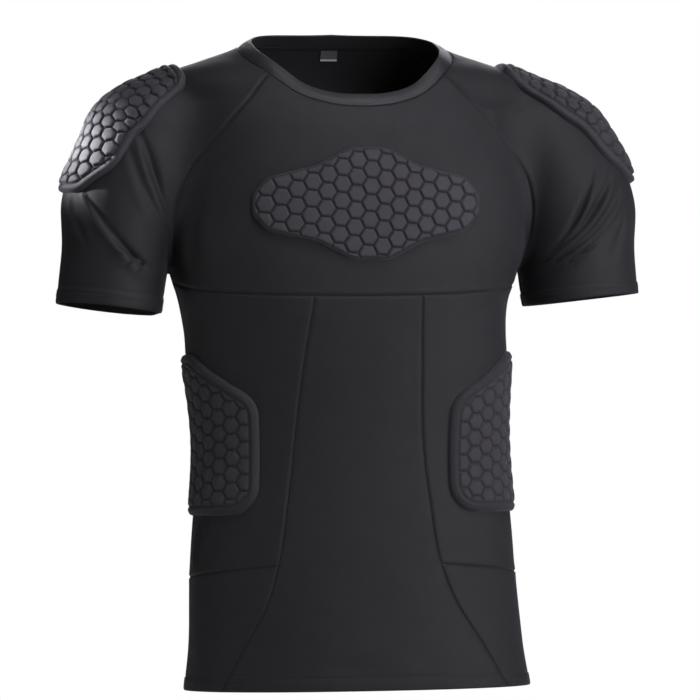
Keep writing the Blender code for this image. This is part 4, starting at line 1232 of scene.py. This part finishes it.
def cellEdge(flat, middle, turn):  # distance of each point from the nearest cell's edge, inwards
    pitch = cells["pitch"]
    spoke = pitch / math.sqrt(3)
    c, s = math.cos(turn), math.sin(turn)
    q = flat - middle
    a, b = c * q[:, 0] + s * q[:, 1], c * q[:, 1] - s * q[:, 0]
    column = np.round(a / (1.5 * spoke))
    best = np.full(len(flat), -9.0)
    for step in (-1, 0, 1):
        i = column + step
        b0 = pitch * (np.round(b / pitch - 0.5 * (i % 2)) + 0.5 * (i % 2))
        da, db = a - 1.5 * spoke * i, b - b0
        reach = np.abs(db)
        for lean in (0.8660254, -0.8660254):  # cosine of 30 degrees
            reach = np.maximum(reach, np.abs(0.5 * db + lean * da))
        best = np.maximum(best, pitch / 2 - reach)
    return best


def padHeight(cut, deep, edge):  # height over the cloth, and how far up a cell each point is, which also sets the painted shade: darkest in the grooves, and borderShade on the border
    rim = np.sqrt(np.clip(1 - (1 - np.clip(deep / cut["round"], 0, 1)) ** 2, 0, 1))
    border = cut["top"] * rim + cut["ridge"] * bump(deep, cut["ridgeAt"], cut["ridgeReach"])
    inner = np.minimum(edge, deep - cut["border"])
    climb = np.clip((inner - cut["groove"]) / cut["cellRound"], 0, 1)
    crownAndPaintedShade = np.sqrt(np.clip(1 - (1 - climb) ** 2, 0, 1))
    low, high = (cut["border"] + step for step in cells["fieldFade"])
    field = smooth(low, high, deep)
    dome = cut["dome"] * smooth(0.0, cells["pitch"] / 2, inner)
    tops = (cut["rise"] + cut["sink"]) * crownAndPaintedShade - cut["sink"] + dome
    height = border * (1 - field) + field * (cut["top"] + tops)
    return height, field * crownAndPaintedShade + (1 - field) * cut["borderShade"]


def softened(net, rounds):  # evens out a net of points, with its edges kept
    for _ in range(rounds):
        for axis in (0, 1):
            n = np.moveaxis(net, axis, 0)
            n = np.concatenate([n[:1], (n[:-2] + 2 * n[1:-1] + n[2:]) / 4, n[-1:]])
            net = np.moveaxis(n, 0, axis)
    return net


def latticed(place, low, high, step=0.003, rounds=40):  # a firm, even surface over the laid cloth
    a = np.arange(low[0] - 5 * step, high[0] + 6 * step, step)
    b = np.arange(low[1] - 5 * step, high[1] + 6 * step, step)
    net = place(*[g.ravel() for g in np.meshgrid(a, b, indexing="ij")]).reshape(len(a), len(b), 3)
    away = outward(net)
    net = softened(net, rounds)
    net = net - softened(form(net)[..., None], rounds // 2) * away
    facing = unit(np.cross(np.gradient(net, axis=0), np.gradient(net, axis=1)))
    facing = facing * np.sign(np.sum(facing * away))

    def at(flat):
        i, s = np.divmod((flat[:, 0] - a[0]) / step, 1)
        j, t = np.divmod((flat[:, 1] - b[0]) / step, 1)
        i, j, s, t = i.astype(int), j.astype(int), s[:, None], t[:, None]
        mixed = []
        for grid in (net, facing):
            near = grid[i, j] * (1 - t) + grid[i, j + 1] * t
            far = grid[i + 1, j] * (1 - t) + grid[i + 1, j + 1] * t
            mixed.append(near * (1 - s) + far * s)
        return mixed[0], unit(mixed[1])

    return at


def hexNet(outline, middle, turn, pitch, margin):  # points of a three-way net inside an outline
    size = np.linalg.norm(outline.max(axis=0) - outline.min(axis=0))
    count = int(size / pitch) + 2
    i, j = np.meshgrid(np.arange(-count, count + 1), np.arange(-count, count + 1), indexing="ij")
    a = i * pitch * math.sqrt(3) / 2
    b = (j + 0.5 * (i % 2)) * pitch
    c, s = math.cos(turn), math.sin(turn)
    flat = np.stack([middle[0] + c * a - s * b, middle[1] + s * a + c * b], axis=-1).reshape(-1, 2)
    boxed = np.all((flat > outline.min(axis=0)) & (flat < outline.max(axis=0)), axis=1)
    flat = flat[boxed]
    return flat[insideBy(flat, outline) > margin]


def filledFlat(outline, net):  # triangles over an outline and the points inside it
    points = [Vector(p) for p in np.concatenate([outline, net])]
    flat, _, faces, _, _, _ = delaunay_2d_cdt(points, [], [list(range(len(outline)))], 1, 1e-6)
    return np.array([tuple(p) for p in flat]), faces


def layPad(name, node, cut, corners, place):
    outline = rounded(corners, cells["outlineStep"])
    turn = math.radians(cut["turn"])
    pitch = cells["pitch"] / cells["fine"]
    coarse = cells["footCoarse"] * pitch
    deepest = hexNet(outline, outline.mean(axis=0), 0.0, cells["middleNet"], cut["border"])
    middle = (deepest.min(axis=0) + deepest.max(axis=0)) / 2
    at = latticed(place, outline.min(axis=0), outline.max(axis=0))
    top, topFaces = filledFlat(outline, hexNet(outline, middle, turn, pitch, cells["edgeGap"] * pitch))
    foot, footFaces = filledFlat(outline, hexNet(outline, middle, turn, coarse, cells["footGap"] * pitch))
    deep = np.maximum(insideBy(top, outline), 0)
    height, crownAndPaintedShade = padHeight(cut, deep, cellEdge(top, middle, turn))
    on, facing = at(top)
    under, underFacing = at(foot)
    work = bmesh.new()
    upper = [work.verts.new(p) for p in on + facing * (cells["lift"] + height)[:, None]]
    lower = [work.verts.new(p) for p in under - underFacing * cells["footDepth"]]
    for face in topFaces:
        work.faces.new([upper[k] for k in face])
    for face in footFaces:
        work.faces.new([lower[k] for k in reversed(face)])
    bmesh.ops.bridge_loops(work, edges=[e for e in work.edges if e.is_boundary])
    bmesh.ops.recalc_face_normals(work, faces=work.faces[:])
    if work.calc_volume(signed=True) < 0:
        bmesh.ops.reverse_faces(work, faces=work.faces[:])
    mesh = bpy.data.meshes.new(name)
    work.to_mesh(mesh)
    work.free()
    layUv(mesh, np.concatenate([top, foot]))
    # painted light for each point: cell tops lit, grooves and borders in painted shade, whole pads darkened
    # by their per-pad factor
    shades = np.concatenate([crownAndPaintedShade * cut["paintedLight"], np.full(len(foot), cells["footShade"])])
    mesh.attributes.new("crownAndPaintedShade", "FLOAT", "POINT").data.foreach_set("value", shades.astype(np.float32))
    piece = meshPiece(name, mesh)
    dress(piece, [node], "pad_knit")


def chestPlace(a, b):
    start = np.stack([a, np.zeros_like(a), padCuts["chest_pad"]["middleZ"] + b], axis=-1)
    return cast(start, toward["front"])


def ribPlace(side, sign):
    cut = padCuts["rib_pad"]
    turns = np.linspace(-cut["girthOver"], math.pi + cut["girthOver"], cut["points"])
    length = runLength(around(turns, cut["girthZ"]))
    length = length - np.interp(math.pi / 2, turns, length)
    return lambda a, b: around(sign * np.interp(-a - cut["ahead"][side], length, turns), b)


def shoulderPlace(side, sign):
    cut = padCuts["shoulder_pad"]
    first, last = (math.radians(tilt) for tilt in cut["tilts"])
    tilt = np.linspace(first, last, cut["points"])
    lean = np.interp(tilt, cut["leanTilts"], cut["lean"])
    pivotX, pivotZ = (np.full_like(tilt, place) for place in cut["pivot"])
    spokes = np.stack([np.cos(tilt), np.zeros_like(tilt), np.sin(tilt)], axis=-1)
    line = cast(np.stack([pivotX, lean, pivotZ], axis=-1), spokes)
    length = runLength(line)
    length = length - np.interp(cut["startX"][side], line[:, 0], length)
    facing = outward(line) * np.array([1.0, 0.0, 1.0])

    def place(a, b):
        up = unit(alongPath(a, length, facing))
        turn = ((b + cut["ahead"][side]) / cut["radius"])[:, None]
        inside = alongPath(a, length, line) - up * cut["radius"]
        points = cast(inside, np.cos(turn) * up + np.sin(turn) * toward["front"])
        return points * np.array([sign, 1.0, 1.0])

    return place


def bothHalves(corners):  # an outline from the corners of one half
    return [(a, -b, r) for a, b, r in corners] + [(a, b, r) for a, b, r in reversed(corners)]


def layPads():
    chest, shoulder, rib = padCuts.values()
    half = bothHalves(chest["quarter"])
    layPad("pad_chest", "chest_pad", chest, half + [(-a, -b, r) for a, b, r in half], chestPlace)
    for side, sign in (("left", 1.0), ("right", -1.0)):
        corners = bothHalves(shoulder["half"])
        layPad("pad_shoulder_" + side, "shoulder_pad_" + side, shoulder, corners, shoulderPlace(side, sign))
        layPad("pad_rib_" + side, "rib_pad_" + side, rib, rib["outline"], ribPlace(side, sign))


layPads()
print("pads laid")

# Label inside the back of the neck, left bare
labelCut = {
    "width": 0.018,
    "drop": 0.012,
    "top": 0.003,
    "thick": 0.0006,
    "gap": 0.0005,
    "curl": 0.0008,
    "columns": 13,
    "rows": 9,
    "startY": 0.02,  # inside the neck, to find the cloth from
    "smoothAngle": 40.0,
}


def neckLabel():
    columns, rows = labelCut["columns"], labelCut["rows"]
    seamMiddle = neckSeam(math.pi)
    inside = seamMiddle * np.array([1.0, 0.0, 1.0]) + labelCut["startY"] * np.array([0.0, 1.0, -1.0])
    down = unit(cast(inside, toward["back"]) - seamMiddle)
    across = np.linspace(-0.5, 0.5, columns) * labelCut["width"]
    fall = labelCut["top"] + labelCut["drop"] * np.linspace(1, 0, rows)
    height = (seamMiddle + down * fall[:, None])[:, 2]
    start = np.stack(np.broadcast_arrays(across, labelCut["startY"], height[:, None]), axis=-1)
    points = cast(start, toward["back"])
    curl = labelCut["curl"] * np.linspace(1, 0, rows)[:, None, None] ** 2
    off = panelCut["wall"] + labelCut["gap"] + labelCut["thick"] + curl
    points = points - outward(points) * off
    spot = np.meshgrid(across, np.linspace(0, labelCut["drop"], rows))
    uv = np.stack(spot, axis=-1)
    piece = gridPiece("label_neck", points, uv, labelCut["thick"], labelCut["smoothAngle"])
    dress(piece, ["neck_label"], "label_tape")


neckLabel()
print("label sewn in")

# Stitches, each a short rounded thread half sunk in the cloth
stitch = {
    "length": 0.0026,
    "pitch": 0.0034,
    "radius": 0.00034,
    "sides": 6,
    "rings": ((-0.5, 0.35), (-0.32, 0.9), (0.0, 1.0), (0.32, 0.9), (0.5, 0.35)),  # place and thickness
    "bend": -0.0003,
    "lift": 0.00005,
    "look": 0.0005,  # how far ahead and behind a stitch finds its direction
    "seamLine": 2,  # which line of points beside a seam is sewn
    "hemRows": (5, 7),
}


def oneStitch():  # rings of a short thread along x, bulging off the cloth along z
    points, faces = [], []
    n, last = stitch["sides"], len(stitch["rings"]) - 1
    for share, size in stitch["rings"]:
        bend = stitch["bend"] * (2 * share) ** 2
        for k in range(n):
            turn = 2 * math.pi * k / n
            r = stitch["radius"] * size
            points.append((share * stitch["length"], r * math.cos(turn), r * math.sin(turn) + bend))
    for ring in range(last):
        for k in range(n):
            here, after = ring * n + k, ring * n + (k + 1) % n
            faces.append((here, after, after + n, here + n))
    ends = [tuple(reversed(range(n))), tuple(range(last * n, (last + 1) * n))]
    return np.array(points), faces + ends


def runStitches(lines):  # one joined set of points and faces for many lines
    shape, faces = oneStitch()
    points, polygons = [], []
    for path, facing in lines:
        length = runLength(path)
        count = max(1, int(length[-1] / stitch["pitch"]))
        at = (np.arange(count) + 0.5) * length[-1] / count
        up = unit(alongPath(at, length, facing))
        fore = alongPath(at + stitch["look"], length, path)
        run = unit(fore - alongPath(at - stitch["look"], length, path))
        side = unit(np.cross(up, run))
        for p, x, y, z in zip(alongPath(at, length, path), run, side, np.cross(run, side)):
            first = len(points) * len(shape)
            points.append(p + stitch["lift"] * z + shape @ np.stack([x, y, z]))
            polygons += [tuple(first + k for k in face) for face in faces]
    return np.concatenate(points), polygons


def sewStitches(name, lines):
    points, polygons = runStitches(lines)
    mesh = bpy.data.meshes.new(name)
    mesh.from_pydata(points.tolist(), [], polygons)
    dress(meshPiece(name, mesh), [], "thread")


def seamLines(node):  # the stitched lines of one panel, a short way in from each seam
    panel = panelPoints[node]
    near, far = stitch["seamLine"], -1 - stitch["seamLine"]
    picks = {"left": np.s_[:, near], "right": np.s_[:, far], "bottom": np.s_[near], "top": np.s_[far]}
    for side, kind in panel["edges"].items():
        if kind == "seam":
            yield panel["points"][picks[side]], panel["facing"][picks[side]]


def hemLines(node):  # twin needle rows over the turned-up hem
    panel = panelPoints[node]
    for row in stitch["hemRows"]:
        yield panel["points"][row], panel["facing"][row]


sewStitches("stitches_seams", [line for node in panelPoints for line in seamLines(node)])
hemmed = [node for node in panelPoints if panelPoints[node]["edges"]["bottom"] == "hem"]
sewStitches("stitches_hems", [line for node in hemmed for line in hemLines(node)])
sewStitches("stitches_neck", [(bindingLine, bindingFace)])
print("stitches sewn")

# Camera, at the photograph's angle
shot = {
    "azimuth": math.radians(-11.0),
    "distance": 4.5,
    "aimZ": -0.304,
    "height": -0.45,
    "roll": math.radians(0.8),
    "metresAcross": 0.735,  # width of the frame at the aim
    "sensor": 36.0,
}


def setCamera():
    level = Vector((-math.sin(shot["azimuth"]), math.cos(shot["azimuth"]), 0.0))
    aim = Vector((0.0, 0.0, shot["aimZ"]))
    spot = aim - level * shot["distance"]
    spot.z = shot["height"]
    ahead = (aim - spot).normalized()
    right = ahead.cross(Vector((0.0, 0.0, 1.0))).normalized()
    up = right.cross(ahead)
    c, s = math.cos(shot["roll"]), math.sin(shot["roll"])
    turned = Matrix((right * c - up * s, right * s + up * c, -ahead)).transposed()
    bpy.ops.object.camera_add(location=spot, rotation=turned.to_euler())
    camera = bpy.context.object
    camera.data.sensor_width = shot["sensor"]
    camera.data.lens = shot["sensor"] * shot["distance"] / shot["metresAcross"]
    camera.data.clip_end = 60.0
    bpy.context.scene.camera = camera


# Floor, soft lights and white surroundings
stageLook = {
    "floorZ": -0.75,
    "size": 40.0,
    "floor": (0.85, 0.85, 0.85),
    "floorRoughness": 0.9,
    "fill": 0.02,  # white that the surroundings give the shirt; the camera sees them full white
}
lampColumns = ("name", "spot", "aim", "width", "height", "power", "spread", "tint")
lamps = (
    ("key", (2.5, -1.45, 0.10), (0.05, 0.0, -0.30), 1.1, 2.0, 26.5, 180.0, (1.0, 0.97, 1.07)),
    ("front", (1.3, -2.8, 0.20), (0.05, 0.0, -0.30), 1.4, 1.8, 32.0, 180.0, (1.0, 0.98, 1.04)),
    ("top", (0.35, -0.85, 1.65), (0.0, 0.0, -0.02), 0.9, 0.8, 1.2, 26.0, (1.0, 0.97, 1.06)),
    ("side", (-2.3, -0.9, -0.20), (-0.15, 0.0, -0.40), 0.6, 0.9, 5.0, 180.0, (1.0, 1.0, 1.02)),
    ("rim", (-1.60, 0.75, 0.45), (-0.290, 0.0, -0.085), 0.16, 0.05, 0.185, 4.0, (1.0, 0.98, 1.04)),
    ("back", (0.7, 2.8, 0.60), (0.0, 0.0, -0.30), 1.6, 1.6, 48.0, 180.0, (1.0, 0.98, 1.03)),
)


def plainFloor():
    bpy.ops.object.select_all(action="DESELECT")
    bpy.ops.mesh.primitive_plane_add(size=stageLook["size"], location=(0.0, 0.0, stageLook["floorZ"]))
    floor = bpy.context.object
    floor.name = "floor"
    pale = bpy.data.materials.new("pale_floor")
    pale.use_nodes = True
    shader = pale.node_tree.nodes["Principled BSDF"]
    shader.inputs["Base Color"].default_value = (*stageLook["floor"], 1.0)
    shader.inputs["Roughness"].default_value = stageLook["floorRoughness"]
    nodes, links = pale.node_tree.nodes, pale.node_tree.links
    seen, white, blend = (nodes.new("ShaderNode" + kind) for kind in ("LightPath", "Emission", "MixShader"))
    links.new(seen.outputs["Is Camera Ray"], blend.inputs[0])
    links.new(shader.outputs[0], blend.inputs[1])
    links.new(white.outputs[0], blend.inputs[2])
    links.new(blend.outputs[0], nodes["Material Output"].inputs[0])
    floor.data.materials.append(pale)


def softLights():
    for row in lamps:
        lamp = dict(zip(lampColumns, row))
        look = (Vector(lamp["aim"]) - Vector(lamp["spot"])).to_track_quat("-Z", "Y")
        bpy.ops.object.light_add(type="AREA", location=lamp["spot"], rotation=look.to_euler())
        light = bpy.context.object
        light.name = "lamp_" + lamp["name"]
        light.data.shape = "RECTANGLE"
        light.data.size = lamp["width"]
        light.data.size_y = lamp["height"]
        light.data.energy = lamp["power"]
        light.data.spread = math.radians(lamp["spread"])
        light.data.color = lamp["tint"]
    world = bpy.data.worlds.new("white_studio")
    bpy.context.scene.world = world
    world.use_nodes = True
    nodes, links = world.node_tree.nodes, world.node_tree.links
    seen = nodes.new("ShaderNodeLightPath")
    level = nodes.new("ShaderNodeMath")
    level.operation = "MULTIPLY_ADD"
    level.inputs[1].default_value = 1.0 - stageLook["fill"]
    level.inputs[2].default_value = stageLook["fill"]
    links.new(seen.outputs["Is Camera Ray"], level.inputs[0])
    nodes["Background"].inputs["Color"].default_value = (1.0, 1.0, 1.0, 1.0)
    links.new(level.outputs[0], nodes["Background"].inputs["Strength"])
    bpy.context.scene.view_settings.view_transform = "Standard"


setCamera()
plainFloor()
softLights()
print("camera, floor and lights set")
